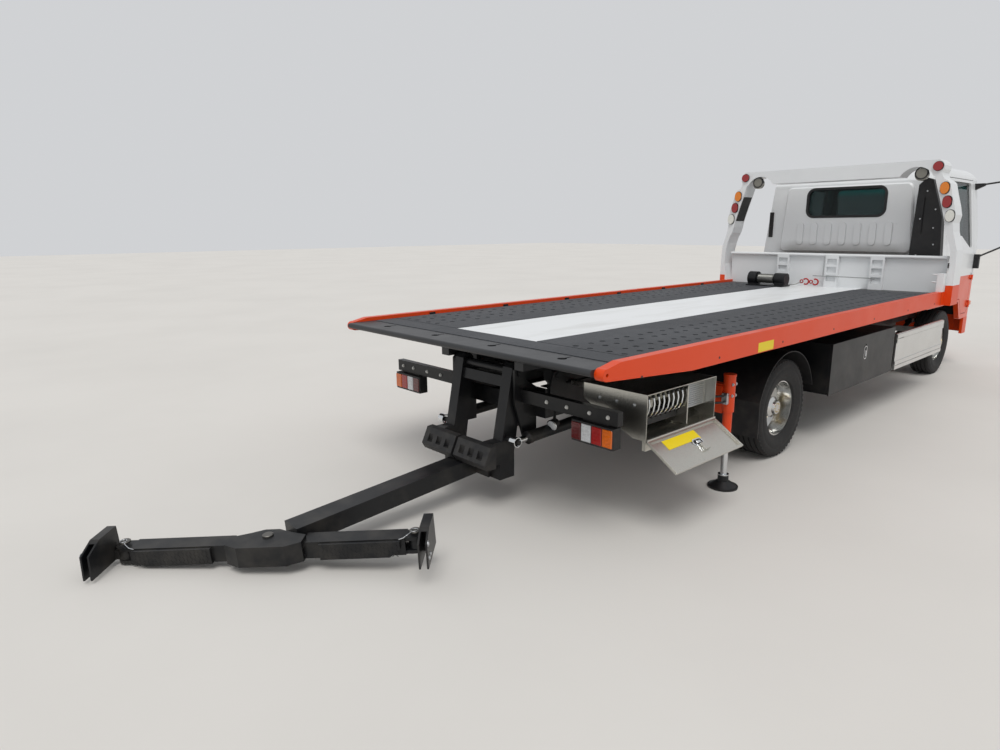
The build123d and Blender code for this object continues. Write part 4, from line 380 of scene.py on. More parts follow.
def lens(name, colour):
    """A moulded lamp lens with fine optics behind a clear face."""
    optics = 160
    glassy = Finish(name, colour, 0.12, Coat_Weight=0.6, Coat_Roughness=0.05)
    glassy.layer(glassy.patches(optics, 1, 0.3, 0.7), colour, 0.6, 0.45)
    glassy.relief(glassy.noise(optics, 1), 0.35, 0.003)


def window_glass(name):
    """Tinted glass with a trace of dust, and a teal sun strip at the top of the windscreen."""
    pane = Finish(name, (112, 124, 124), 0.03, Transmission_Weight=0.95, IOR=1.2)
    pane.layer(pane.patches(9, 6, 0.5, 0.9), DUST, 0.1)
    windscreen = pane.where("X", AXLE_X + 5.3, AXLE_X + 5.31)
    pane.layer(pane.both(windscreen, pane.where("Z", 2.24, 2.3)), (52, 150, 146))
    pane.relief(pane.noise(3, 2), 0.01, 0.001)


def two_tone(name, upper, lower):
    """The cab's paint, white above a sharp line and orange below it, greyed low in the middle of
    its back.
    """
    paint = Finish(name, upper, 0.3, Coat_Weight=0.3, Coat_Roughness=0.12)
    paint.layer(paint.patches(1.3, 5, 0.35, 0.75), upper, 0.5, 0.9)
    # Grey over the middle of the back, below a ragged line about 1.6 m up, fading out towards the
    # sides.
    back = paint.where("X", AXLE_X + 3.72, AXLE_X + 3.7)
    ragged_height = paint.maths("ADD", paint.part("Z"), paint.maths("MULTIPLY", paint.noise(2.2, 4), 0.12))
    middle = paint.from_middle(0.86, 0.6)
    shade = paint.both(middle, paint.levels(ragged_height, 1.72, 1.6))
    paint.layer(paint.both(back, shade), (128, 128, 124), 0.75)
    blur = 0.0005
    paint.layer(paint.where("Z", PAINT_SPLIT_Z + blur, PAINT_SPLIT_Z - blur), lower)
    paint.dusty(1.0, 0.5, (6, 6, 0.45, 0.75), 0.25)
    paint.worn(paint.noise(4, 5), 0.22, 0.42)
    paint.relief(paint.noise(900, 2), 0.03, 0.001, 0.006)


def deck_grit():
    """Anti-slip coating: coarse grit, scuffed lighter where cars have rolled."""
    grit = Finish("deck_grit", (62, 64, 68), 0.72)
    grit.layer(grit.patches(2.2, 6, 0.4, 0.75, (0.35, 1, 1)), (84, 86, 90), 0.55)
    grit.layer(grit.patches(260, 3, 0.5, 0.7), (34, 35, 38), 0.6)
    grit.worn(grit.noise(8, 4), 0.6, 0.85)
    grit.relief(grit.noise(420, 3), 0.5, 0.002, 0.001)


def bed_paint():
    """The bed's black steel: a white strip along the deck, and grit on the tail behind it."""
    half_width, start, blur = 0.41, AXLE_X - 2.13, 0.001
    paint = Finish("bed_paint", (30, 31, 33), 0.5, Coat_Weight=0.1, Coat_Roughness=0.2)
    paint.layer(paint.patches(3, 5, 0.35, 0.75), (46, 47, 50), 0.6)
    across = paint.from_middle(half_width + blur / 2, half_width - blur / 2)
    top = paint.where("Z", DECK_Z - 0.003, DECK_Z - 0.002)
    ahead = paint.where("X", start - blur, start + blur)
    strip = paint.both(across, paint.both(top, ahead))
    paint.layer(strip, WHITE)
    streaks = paint.patches(5, 6, 0.5, 0.8, (0.2, 1, 1))
    paint.layer(paint.both(strip, streaks), (188, 188, 184), 0.55)
    grit = paint.patches(300, 3, 0.45, 0.7)
    behind = paint.where("X", start + blur, start - blur)
    paint.layer(paint.both(paint.both(behind, top), grit), (76, 78, 82), 0.5)
    paint.worn(paint.noise(6, 4), 0.38, 0.6)
    paint.relief(paint.noise(900, 2), 0.05, 0.001, 0.0015)


def leg_metal():
    """The stabiliser legs: a chromed rod above, black paint on the bell and plate below."""
    chrome, paint = 0.16, 0.45
    metal = Finish("leg_metal", (216, 218, 220), chrome, 1.0)
    metal.layer(metal.patches(3, 6, 0.45, 0.8), (170, 172, 172), 0.3)
    foot = metal.where("Z", 0.0935, 0.0925)
    metal.layer(foot, BLACK)
    metal.fill(metal.shader, {"Metallic": metal.levels(foot, 0.0, 1.0, 1.0, 0.0)})
    metal.worn(foot, chrome, paint)
    metal.relief(metal.noise(300, 2), 0.05, 0.0006, 0.001)


def arch_lenses():
    """The arch's lenses: red, amber, red and clear from the top, and clear work lights."""
    optics, blur = 150, 0.001
    glassy = Finish("arch_lenses", (150, 16, 20), 0.14, Coat_Weight=0.6, Coat_Roughness=0.05)
    for low, high, colour in ((2.14, 2.28, (228, 128, 12)), (1.80, 1.995, (226, 226, 218))):
        band = glassy.both(glassy.where("Z", low - blur, low), glassy.where("Z", high + blur, high))
        glassy.layer(band, colour)
    work_lights = glassy.where("X", AXLE_X + 3.165, AXLE_X + 3.166)
    glassy.layer(work_lights, (120, 118, 108))
    glassy.layer(glassy.patches(optics, 1, 0.4, 0.7), (60, 20, 18), 0.18)
    glassy.relief(glassy.noise(optics, 1), 0.35, 0.003)


def tyre_rubber():
    """Tyre rubber, greyed with road dust on the sidewall."""
    rubber = Finish("tyre_rubber", (26, 26, 27), 0.78)
    rubber.layer(rubber.patches(5, 6, 0.4, 0.75), (46, 44, 42), 0.5)
    rubber.layer(rubber.patches(60, 4, 0.5, 0.75), (80, 75, 68), 0.25)
    rubber.worn(rubber.noise(30, 3), 0.68, 0.88)
    rubber.relief(rubber.noise(700, 2), 0.2, 0.001)


painted("white_paint", WHITE, (205, 208, 210), 0.3)
painted("orange_paint", ORANGE, (208, 60, 10), 0.36, 0.003, 0.1)
painted("black_paint", BLACK, (25, 26, 29), 0.4, 0.0015, 0.1)
painted("black_frame", (19, 20, 22), (29, 30, 32), 0.5, 0.0015, 0.2)
deck_grit()
two_tone("cab_paint", WHITE, ORANGE)
painted("engine_grey", (96, 97, 98), (70, 70, 70), 0.55, 0.004, 0.5)
painted("cast_knuckle", (60, 60, 60), (48, 46, 44), 0.6, 0.003, 0.5)
bare_metal("stainless", (206, 204, 196), 0.27, (1, 1, 14))
bare_metal("rod_chrome", (222, 224, 226), 0.12, grain=60, stain=0.1)
bare_metal("wheel_chrome", (214, 214, 212), 0.16, grain=90, stain=0.3)
bare_metal("guard_aluminium", (222, 222, 220), 0.3, (12, 1, 1))
tyre_rubber()
moulded("pad_rubber", (22, 22, 24), 0.62, dusty=0.08)
moulded("black_plastic", (19, 19, 21), 0.5, dusty=0.08)
lens("lamp_red", (170, 18, 16))
lens("lamp_amber", (232, 110, 16))
lens("lamp_clear", (220, 222, 224))
moulded("seat_fabric", (58, 58, 62), 0.85, 500, 0.4, 0.01, 0.0)
window_glass("glass")
bed_paint()
arch_lenses()
leg_metal()
painted("sticker", (232, 206, 20), (214, 190, 30), 0.4, 0.0003, 0.1)
lens("lamp_dark_red", (96, 12, 16))
bare_metal("nut_metal", (196, 178, 140), 0.28, grain=120, stain=0.3)
bare_metal("worn_steel", (120, 118, 114), 0.42, grain=180, stain=0.5)
bare_metal("zinc", (196, 198, 200), 0.34, grain=220, stain=0.3)
bare_metal("wire_rope", (150, 150, 146), 0.4, grain=500, stain=0.5)
painted("white_bolt", (206, 206, 202), (170, 168, 160), 0.4, 0.0005)
painted("hook_red", (176, 22, 24), (140, 16, 18), 0.38, 0.001)
moulded("cable_grey", (150, 152, 152), 0.5, dusty=0.1)

# The nodes of the frame that wear each finish.
NODE_LOOKS = {
    "white_paint": "headboard light_arch",
    "orange_paint": "side_rails stabiliser_barrels front_bumper",
    "cab_paint": "cab_shell door_left door_right",
    "black_paint": "lift_mast inner_boom crossbar fork_left fork_right tail_frame side_toolbox "
                   "side_toolbox_door winch_frame winch_drum fuel_tank",
    "black_frame": "chassis_frame rear_axle front_axle tilt_frame cab_floor tilt_barrels "
                   "lift_barrels",
    "bed_paint": "bed_frame",
    "deck_grit": "lane_mats",
    "engine_grey": "engine_block",
    "cast_knuckle": "knuckle_left knuckle_right",
    "stainless": "rear_toolbox rear_toolbox_lid",
    "rod_chrome": "tilt_rods lift_rods",
    "leg_metal": "stabiliser_leg_left stabiliser_leg_right",
    "wheel_chrome": "front_wheel_left front_wheel_right rear_wheels_left rear_wheels_right",
    "guard_aluminium": "side_guards",
    "tyre_rubber": "front_tyre_left front_tyre_right rear_tyres_left rear_tyres_right",
    "pad_rubber": "step_pads",
    "black_plastic": "tail_lamps mudguards mirror_left mirror_right steering_wheel intake_duct",
    "arch_lenses": "arch_lamps",
    "lamp_clear": "headlamps",
    "seat_fabric": "cab_interior",
    "glass": "cab_glass door_glass_left door_glass_right",
}


def dress_frame():
    """Gives every node of the frame its finish."""
    for name, nodes in NODE_LOOKS.items():
        for node in nodes.split():
            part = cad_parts[node]
            part.data.materials.clear()
            part.data.materials.append(look[name])


dress_frame()


# Details that ride on the frame

FORWARD, REARWARD, UPWARD = (1, 0, 0), (-1, 0, 0), (0, 0, 1)
ACROSS = (0, 1, 0)
SIDES = (-1, 1)
NAMED_SIDES = (("left", 1), ("right", -1))


def at(x, y, z):
    """A place given from the rear axle, in the frame's coordinates."""
    return (AXLE_X + x, y, z)


def row(count, first, pitch):
    """Evenly spaced places."""
    return [first + number * pitch for number in range(count)]


def touch(node, start, way):
    """Where a ray from start first meets a node of the frame."""
    hit, point, _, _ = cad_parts[node].ray_cast(Vector(start), Vector(way).normalized())
    if not hit:
        raise ValueError("no surface of " + node + " from " + str(tuple(start)))
    return point


def bolt_down(shape, node, starts, axis, radius, height):
    """Bolts that point along axis, where rays from the starts back along it meet the node."""
    for start in starts:
        shape.bolt(touch(node, start, -Vector(axis)), axis, radius, height)


def span(side, near, far):
    """Two distances from the middle, on one side, as the lower and the upper y."""
    return sorted((side * near, side * far))


def rounded(half_width, half_height, radius, steps=6):
    """A rounded rectangle about its centre."""
    points = []
    for corner, (sign_x, sign_y) in enumerate(((1, 1), (-1, 1), (-1, -1), (1, -1))):
        for step in range(steps + 1):
            turn = pi / 2 * (corner + step / steps)
            points.append((sign_x * (half_width - radius) + radius * cos(turn),
                           sign_y * (half_height - radius) + radius * sin(turn)))
    return points


# Tyres and wheels

# The wheels' body, their tyres' node, the axle, and where the tyres stand across the truck.
WHEELS = (("front_wheel_left", "front_tyre_left", STEER_AXLE_X, (0.85,)),
          ("front_wheel_right", "front_tyre_right", STEER_AXLE_X, (-0.85,)),
          ("rear_wheels_left", "rear_tyres_left", AXLE_X, (0.956, 0.694)),
          ("rear_wheels_right", "rear_tyres_right", AXLE_X, (-0.956, -0.694)))
GROOVES = (-0.066, -0.022, 0.022, 0.066)
GROOVE_FLOOR = TYRE_RADIUS - 0.013
GROOVE_HALF_TOP, GROOVE_HALF_FLOOR = 0.0055, 0.004
SHOULDER, SHOULDER_DROP = 0.095, 0.0045
TYRE_HALF = (FRONT_TYRE[1].y - FRONT_TYRE[0].y) / 2
BEAD = 0.2228
LUGS, LUG_ACROSS = 56, 0.0995
NUTS, NUT_CIRCLE = 8, 0.1125
HUB_BOLTS, HUB_CIRCLE = 10, 0.036


def tread_radius(across):
    """The crown of the tread, slightly lower at its shoulders."""
    return TYRE_RADIUS - SHOULDER_DROP * (across / SHOULDER) ** 2


def tyre_outline():
    """Section of a tyre as (radius, across), from one bead round to the other."""
    wall = [(BEAD, -0.088), (0.232, -0.1), (0.246, -0.1045), (0.262, -0.108), (0.285, -TYRE_HALF),
            (0.322, -TYRE_HALF), (0.326, -0.1155), (0.331, -0.1155), (0.335, -0.117),
            (0.352, -0.1155), (0.372, -0.109), (0.383, -0.102), (tread_radius(0.093), -0.093)]
    ribs = []
    for groove in GROOVES:
        crown = tread_radius(groove)
        ribs += [(crown, groove - GROOVE_HALF_TOP), (GROOVE_FLOOR, groove - GROOVE_HALF_FLOOR),
                 (GROOVE_FLOOR, groove + GROOVE_HALF_FLOOR), (crown, groove + GROOVE_HALF_TOP)]
    other = [(radius, -across) for radius, across in reversed(wall)]
    return wall + ribs + other + [(BEAD + 0.012, 0.07), (BEAD + 0.012, -0.07)]


def add_tyre(shape, centre):
    """A grooved tyre with lugs on both shoulders."""
    shape.turned(tyre_outline(), centre, ACROSS, 96, ring=True)
    for side in SIDES:
        y = side * LUG_ACROSS
        for turn in turns(LUGS):
            lug = Matrix.Translation(Vector(centre)) @ Matrix.Rotation(turn, 4, "Y")
            shape.box((-0.011, y - 0.0065, 0.372), (0.011, y + 0.0065, 0.3905), 0.002, lug)


def add_tyres():
    """Grooved tyres in place of the plain ones of the frame."""
    for body, node, x, spots in WHEELS:
        shape = Shape()
        for y in spots:
            add_tyre(shape, (x, y, TYRE_RADIUS))
        piece = place(node + "_tread", shape, body, "tyre_rubber", "tyre", 30)
        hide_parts(node)


def add_wheel_fittings():
    """Wheel nuts on their studs, and small bolts round the hub."""
    for body, _, x, spots in WHEELS:
        nuts = Shape()
        side = 1 if spots[0] > 0 else -1
        outward = (0, side, 0)
        for turn in turns(NUTS, 0.5):
            spot = (x + NUT_CIRCLE * cos(turn), side * 1.2, TYRE_RADIUS + NUT_CIRCLE * sin(turn))
            face = touch(body, spot, (0, -side, 0))
            nuts.turned([(0.019, 0), (0.019, 0.003)], face, outward, 20)
            nuts.turned([(0.0165, 0.002), (0.0165, 0.018), (0.013, 0.021)], face, outward, 6)
            nuts.rod(face, face + Vector((0, side * 0.03, 0)), 0.008, 12, 0.001)
        starts = [(x + HUB_CIRCLE * cos(turn), side * 1.3, TYRE_RADIUS + HUB_CIRCLE * sin(turn))
                  for turn in turns(HUB_BOLTS)]
        bolt_down(nuts, body, starts, outward, 0.004, 0.004)
        place(body + "_nuts", nuts, body, "nut_metal", "wheel_chrome")


# Crossbar and forks

# The boom slopes down behind the truck, and the crossbar at its end is swung to one side.
BOOM_PLACE = (Matrix.Translation(at(-2.35, 0, 0.3084)) @ Matrix.Rotation(radians(-4.66), 4, "Y")
              @ Matrix.Rotation(pi, 4, "Z"))
CROSSBAR_PLACE = (BOOM_PLACE @ Matrix.Translation((1.456, 0, 0))
                  @ Matrix.Rotation(radians(45.2), 4, "Z"))
CROSSBAR_TURN = CROSSBAR_PLACE.to_3x3()
TREADS_ACROSS, TREADS_UP = row(19, 0.322, 0.0222), row(6, -0.118, 0.0155)
FORK_PIN_Y = 0.815


def add_crossbar_fittings():
    """Diamond treads, the pins of the hub and forks, and their clips."""
    treads = Shape()
    for side in SIDES:
        for up, z in enumerate(TREADS_UP):
            for along, y in enumerate(TREADS_ACROSS):
                lean = Matrix.Rotation(radians(45 if (up + along) % 2 else -45), 4, "X")
                turn = CROSSBAR_PLACE @ Matrix.Translation((0.0775, side * y, z)) @ lean
                treads.box((-0.001, -0.0075, -0.0018), (0.0014, 0.0075, 0.0018), 0.0008, turn)
    place("crossbar_treads", treads, "crossbar", "black_paint")
    pins, clips = Shape(), Shape()
    upright = CROSSBAR_TURN @ Vector(UPWARD)
    for side in SIDES:
        top = Vector((0, side * FORK_PIN_Y, -0.031))
        pins.turned([(0.03, 0), (0.031, 0.002), (0.031, 0.009), (0.027, 0.012)],
                    CROSSBAR_PLACE @ (top + Vector((0, 0, 0.012))), upright, 28)
        ring = [top + Vector((0.018 * cos(turn) + 0.012, 0.018 * sin(turn), 0.027))
                for turn in turns(20)]
        clips.tube([CROSSBAR_PLACE @ point for point in ring], 0.0022, 8, closed=True)
        tether = ((0.03, side * 0.8, -0.006), (0.048, side * 0.782, -0.012),
                  (0.06, side * 0.758, -0.024), (0.062, side * 0.735, -0.03))
        clips.tube([CROSSBAR_PLACE @ Vector(point) for point in tether], 0.0024, 8)
    pins.turned([(0.03, 0), (0.03, 0.008), (0.026, 0.011)],
                CROSSBAR_PLACE @ Vector((0, 0, -0.011)), upright, 28)
    place("crossbar_pins", pins, "crossbar", "worn_steel", "black_paint")
    place("crossbar_clips", clips, "crossbar", "rod_chrome")


def add_fork_fittings():
    """Bolts on the outer side of each fork, beyond and below its pin."""
    for name, side in NAMED_SIDES:
        shape = Shape()
        outward = CROSSBAR_TURN @ Vector((0, -side, 0))
        for x, z, radius in ((0.205, 0.02, 0.011), (0.165, -0.06, 0.009), (0.205, -0.06, 0.009)):
            spot = CROSSBAR_PLACE @ Vector((x, -side * 1.1, z))
            bolt_down(shape, "fork_" + name, [spot], outward, radius, 0.004)
        place("fork_" + name + "_bolts", shape, "fork_" + name, "zinc", "rod_chrome")


# Deck and rails

HOLE_COLUMNS = (0.6996, 0.8146, 0.9626, 1.0706)
HOLE_ROWS = row(19, -2.086, 0.256)
# Every second column starts later, and the mats end here.
HOLE_STEP, HOLE_LAST = 0.146, 2.98
HOLE_RIM = ((0.0192, 0), (0.0225, 0), (0.0215, 0.0016), (0.0198, 0.0016))
RAIL_FACE = 1.2766
RAIL_HOLES = (-2.2, -1.4, -0.55, 0.32, 1.18, 2.05, 2.86)
RAIL_KEEPERS = (-1.75, -0.9, -0.05, 0.8, 1.65, 2.5)


def add_deck_fittings():
    """Raised rims round the drain holes of the mats."""
    rims = Shape()
    for side in SIDES:
        for column, y in enumerate(HOLE_COLUMNS):
            for x in HOLE_ROWS:
                x += HOLE_STEP if column % 2 else 0
                if x < HOLE_LAST:
                    rims.turned(HOLE_RIM, at(x, side * y, MAT_Z - 0.0002), UPWARD, 16, ring=True)
    place("deck_hole_rims", rims, "bed", "deck_grit", "black_grit")


def add_rail_fittings():
    """Black discs as painted shade in the holes, and dark joints, on the outside of the side rails,
    and keepers along their inside.
    """
    dark, keepers = Shape(), Shape()
    for side in SIDES:
        # Black discs on the rail face: painted shade standing for the insides of the holes.
        for x in RAIL_HOLES:
            dark.turned([(0.008, 0), (0.008, 0.0012)], at(x, side * RAIL_FACE, 1.03),
                        (0, side, 0), 16)
        low, high = span(side, 1.209, 1.217)
        for x in RAIL_KEEPERS:
            keepers.box(at(x - 0.03, low, 1.1105), at(x + 0.03, high, 1.128), 0.002)
        low, high = span(side, RAIL_FACE + 0.0002, RAIL_FACE + 0.001)
        dark.box(at(3.0585, low, 0.994), at(3.0615, high, 1.136), 0.0003)
    # One piece: the painted shade of the holes, with the dark joints.
    place("rail_hole_shade_and_joints", dark, "bed", "black_plastic")
    place("rail_keepers", keepers, "bed", "black_paint")


# Lamps

# Across, height, half width and half height of the arch's lamps, from the top.
ARCH_LAMPS = ((1.071, 2.433, 0.047, 0.047), (1.156, 2.208, 0.042, 0.061),
              (1.193, 2.067, 0.042, 0.061), (1.235, 1.923, 0.042, 0.061))
BAND_ROWS, BAND_COLUMNS = row(13, 1.9, 0.025), (3.17, 3.24, 3.31, 3.38)
# Name, finish, slot, and the near and far end of each lens of the tail lamps.
TAIL_LENSES = (("tail_lens_inner", "lamp_dark_red", "lamp_red", 0.79, 0.862),
               ("tail_lens_clear", "lamp_clear", "lamp_clear", 0.868, 0.94),
               ("tail_lens_stop", "lamp_red", "lamp_red", 0.946, 1.02),
               ("tail_lens_turn", "lamp_amber", "lamp_red", 1.026, 1.097))


def add_arch_rims():
    """Rubber rims round the arch's lamps, and round its forward work lights."""
    rims = Shape()
    for side in SIDES:
        for y, z, half_y, half_z in ARCH_LAMPS:
            straight = half_z - half_y
            ring = []
            for turn in turns(32):
                lift = straight if sin(turn) > 0 else -straight
                ring.append(at(3.151, side * y + half_y * cos(turn), z + half_y * sin(turn) + lift))
            rims.tube(ring, 0.004, 8, closed=True)
    work_rim = ((0.052, 0.0), (0.0655, 0.0), (0.0665, 0.012), (0.0645, 0.03), (0.058, 0.03),
                (0.054, 0.004))
    for side in SIDES:
        rims.turned(work_rim, at(3.173, side * 0.915, 2.372), FORWARD, 32, ring=True)
    place("arch_lamp_rims", rims, "bed", "black_plastic")


def add_arch_band():
    """A dark band laid on the inner side of the arch's posts."""
    band = Shape()
    width = len(BAND_COLUMNS)
    for side in SIDES:
        start = len(band.verts)
        for z in BAND_ROWS:
            for x in BAND_COLUMNS:
                point = touch("light_arch", at(x, side * 0.7, z), (0, side, 0))
                band.verts.append(point - Vector((0, side * 0.0015, 0)))
        for up in range(len(BAND_ROWS) - 1):
            for along in range(width - 1):
                a = start + up * width + along
                quad = (a, a + 1, a + width + 1, a + width)
                band.faces.append(quad if side > 0 else tuple(reversed(quad)))
    place("arch_inner_band", band, "bed", "black_plastic")


def add_work_lamp():
    """The small lamp that hangs beside the mast, with its bracket."""
    lamp, rim, glass = Shape(), Shape(), Shape()
    head = Vector(at(-1.988, -0.42, 0.53))
    way = Vector((-1, -0.1, -0.3)).normalized()
    lamp.turned([(0.012, -0.055), (0.03, -0.045), (0.036, -0.014), (0.036, 0)], head, way, 28)
    x, y, z = head
    lamp.box((x + 0.02, y - 0.012, z), (x + 0.026, y + 0.012, 0.706), 0.001)
    rim.turned([(0.0345, -0.001), (0.039, 0.001), (0.039, 0.007), (0.0335, 0.008)], head, way, 28,
               ring=True)
    glass.turned([(0.0345, 0.002), (0.022, 0.0065), (0.002, 0.0075)], head, way, 28)
    place("tail_work_lamp", lamp, "chassis", "black_plastic")
    place("tail_work_lamp_rim", rim, "chassis", "rod_chrome")
    place("tail_work_lamp_glass", glass, "chassis", "lamp_clear")


def add_rail_label():
    """The blank sticker on the right rail."""
    y = -RAIL_FACE
    label = Shape().box(at(-0.905, y - 0.0009, 0.998), at(-0.69, y, 1.062), 0.0003)
    place("rail_label", label, "bed", "sticker", "orange_paint")


def add_tail_lenses():
    """Ribbed lenses over the tail lamps."""
    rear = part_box("tail_lamps")[0].x
    for name, finish, slot, near, far in TAIL_LENSES:
        shape = Shape()
        for side in SIDES:
            low, high = span(side, near, far)
            shape.box((rear - 0.006, low, 0.578), (rear + 0.004, high, 0.684), 0.003)
            for z in row(4, 0.595, 0.022):
                shape.box((rear - 0.0075, low + 0.008, z), (rear - 0.004, high - 0.008, z + 0.008),
                          0.0012)
        place(name, shape, "chassis", finish, slot)


# Toolboxes

LEVERS = row(8, -1.945, 0.05)
LEVER_WAY = ((0, 0, 0), (0, -0.03, 0.02), (0, -0.052, 0.055), (0.002, -0.058, 0.1),
             (0.003, -0.05, 0.135))
LOUVRES = row(11, 0.688, 0.014)
TRAY_HINGE_Y, TRAY_HINGE_Z = -1.1865, 0.6
TRAY_LATCH_OUTSIDE, TRAY_LATCH_INSIDE = rounded(0.052, 0.026, 0.025), rounded(0.043, 0.018, 0.017)
SIDE_LATCH_OUTSIDE, SIDE_LATCH_INSIDE = rounded(0.034, 0.062, 0.033), rounded(0.027, 0.054, 0.026)


def add_toolbox_fittings():
    """The valve block with its levers, the bolts, and the louvred panel of the rear toolbox."""
    levers, knobs, block, bolts = Shape(), Shape(), Shape(), Shape()
    block.box(at(-1.985, -1.104, 0.655), at(-1.572, -1.03, 0.722), 0.004)
    for x in LEVERS:
        foot = Vector(at(x, -1.098, 0.7))
        levers.tube([foot + Vector(step) for step in LEVER_WAY], 0.0055)
        knobs.ball(foot + Vector((0.003, -0.048, 0.142)), 0.011)
        block.rod(at(x, -1.1, 0.7), at(x, -1.112, 0.704), 0.011, 14, 0.002)
        block.box(at(x - 0.017, -1.09, 0.722), at(x + 0.017, -1.045, 0.738), 0.003)
    place("valve_block", block, "chassis", "black_paint")
    place("valve_levers", levers, "chassis", "rod_chrome")
    place("valve_knobs", knobs, "chassis", "black_plastic")
    bolt_down(bolts, "rear_toolbox", [at(-2.3, y, 0.80) for y in (-0.83, -0.96, -1.09)],
              REARWARD, 0.007, 0.006)
    place("toolbox_bolts", bolts, "chassis", "zinc", "rod_chrome")
    divider = Shape().box(at(-1.569, -1.176, 0.615), at(-1.56, -1.03, 0.86), 0.0015)
    place("toolbox_divider", divider, "chassis", "stainless")
    louvres = Shape().box(at(-1.56, -1.1, 0.68), at(-1.2545, -1.096, 0.85), 0.001)
    for z in LOUVRES:
        louvres.box(at(-1.545, -1.108, z), at(-1.27, -1.099, z + 0.006), 0.0015)
    place("toolbox_louvres", louvres, "chassis", "zinc", "stainless")


def add_tray_fittings():
    """The sticker, the oval latch and its keys on the inside of the tray lid."""
    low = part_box("rear_toolbox_lid")[0]
    down = Vector((0, low.y - TRAY_HINGE_Y, low.z - TRAY_HINGE_Z)).normalized()
    normal = down.cross(Vector(FORWARD))

    def on_lid(x, along):
        start = Vector(at(x, TRAY_HINGE_Y, TRAY_HINGE_Z)) + down * along + normal * 0.15
        return touch("rear_toolbox_lid", start, -normal)

    spot = on_lid(-1.592, 0.115) + normal * 0.001
    turn = Matrix((down.cross(normal), down, normal)).transposed().to_4x4()
    latch, oval, keys = Shape(), Shape(), Shape()
    latch.plate(TRAY_LATCH_OUTSIDE, (0, 0, 0), FORWARD, ACROSS, 0.004, TRAY_LATCH_INSIDE)
    oval.plate(TRAY_LATCH_INSIDE, (0, 0, -0.0015), FORWARD, ACROSS, 0.003)
    keys.box((-0.028, -0.009, 0.001), (0.01, 0.009, 0.004), 0.001)
    keys.tube([(0.02, 0, 0.002), (0.028, 0.006, 0.005), (0.03, 0.03, 0.004),
               (0.026, 0.05, 0.002)], 0.0022, 8)
    keys.box((0.018, 0.04, 0.0005), (0.034, 0.068, 0.0028), 0.0008)
    for shape in (latch, oval, keys):
        shape.verts = [Matrix.Translation(spot) @ turn @ Vector(vert) for vert in shape.verts]
    lift = normal * 0.0008
    corners = [on_lid(x, along) + lift for x, along in
               ((-1.875, 0.028), (-1.53, 0.028), (-1.53, 0.098), (-1.875, 0.098))]
    sticker = Shape().add(corners + [corner + lift for corner in corners],
                          [(7, 6, 5, 4), (0, 1, 2, 3), (4, 5, 1, 0), (5, 6, 2, 1), (6, 7, 3, 2),
                           (7, 4, 0, 3)])
    place("tray_sticker", sticker, "rear_toolbox_lid", "sticker", "stainless")
    place("tray_latch_rim", latch, "rear_toolbox_lid", "rod_chrome")
    place("tray_latch_pan", oval, "rear_toolbox_lid", "black_plastic")
    place("tray_latch_grip", keys, "rear_toolbox_lid", "rod_chrome")


def add_side_box_fittings():
    """The oval latch of the side toolbox."""
    rim, pan, grip = Shape(), Shape(), Shape()
    x, y, z = touch("side_toolbox_door", at(1.34, -1.4, 0.70), ACROSS)
    rim.plate(SIDE_LATCH_OUTSIDE, (x, y - 0.004, z), FORWARD, UPWARD, -0.005, SIDE_LATCH_INSIDE)
    pan.plate(SIDE_LATCH_INSIDE, (x, y - 0.001, z), FORWARD, UPWARD, -0.0015)
    grip.box((x - 0.012, y - 0.008, z - 0.035), (x + 0.012, y - 0.002, z + 0.02), 0.002)
    place("side_latch_rim", rim, "side_toolbox_door", "rod_chrome")
    place("side_latch_pan", pan, "side_toolbox_door", "black_plastic")
    place("side_latch_grip", grip, "side_toolbox_door", "zinc", "rod_chrome")


# Stabilisers and winch

LEG_Y = 1.1
LEG_BOLTS = ((-0.945, 0.76), (-0.905, 0.76), (-0.945, 0.68), (-0.905, 0.68))
# The way of a leg's hose from its valve, as forward, outward and up.
HOSE_WAY = ((0, 0, 0), (-0.035, 0, 0), (-0.075, -0.06, -0.006), (-0.082, -0.2, -0.02),
            (-0.075, -0.42, -0.022), (-0.06, -0.6, -0.005), (-0.05, -0.684, 0.0))
DRUM_X, DRUM_Z, DRUM_RADIUS = 2.9, 1.2, 0.0515
DRUM_START, DRUM_WIDTH = 0.455, 0.21
ROPE_TURNS, STEPS_PER_TURN = 15, 16


def add_stabiliser_fittings():
    """Bolts, valves and hoses of the stabiliser legs."""
    for name, side in NAMED_SIDES:
        bolts, valve = Shape(), Shape()
        bolt_down(bolts, "stabiliser_barrels", [at(x, side * 1.3, z) for x, z in LEG_BOLTS],
                  (0, side, 0), 0.008, 0.007)
        y = side * LEG_Y
        x = touch("stabiliser_barrels", at(-1.2, y, 0.5), FORWARD).x
        valve.box((x - 0.028, y - 0.022, 0.62), (x + 0.004, y + 0.022, 0.7), 0.003)
        for number, z in enumerate((0.64, 0.685)):
            start = Vector((x - 0.026, y, z))
            route = [start + Vector((ahead, side * out, up)) for ahead, out, up in HOSE_WAY]
            hang("leg_hose_%s_%d" % (name, number), route, 0.008, "chassis", "black_plastic")
        place("leg_valve_" + name, valve, "chassis", "zinc", "rod_chrome")
        place("leg_bolts_" + name, bolts, "chassis", "zinc", "rod_chrome")


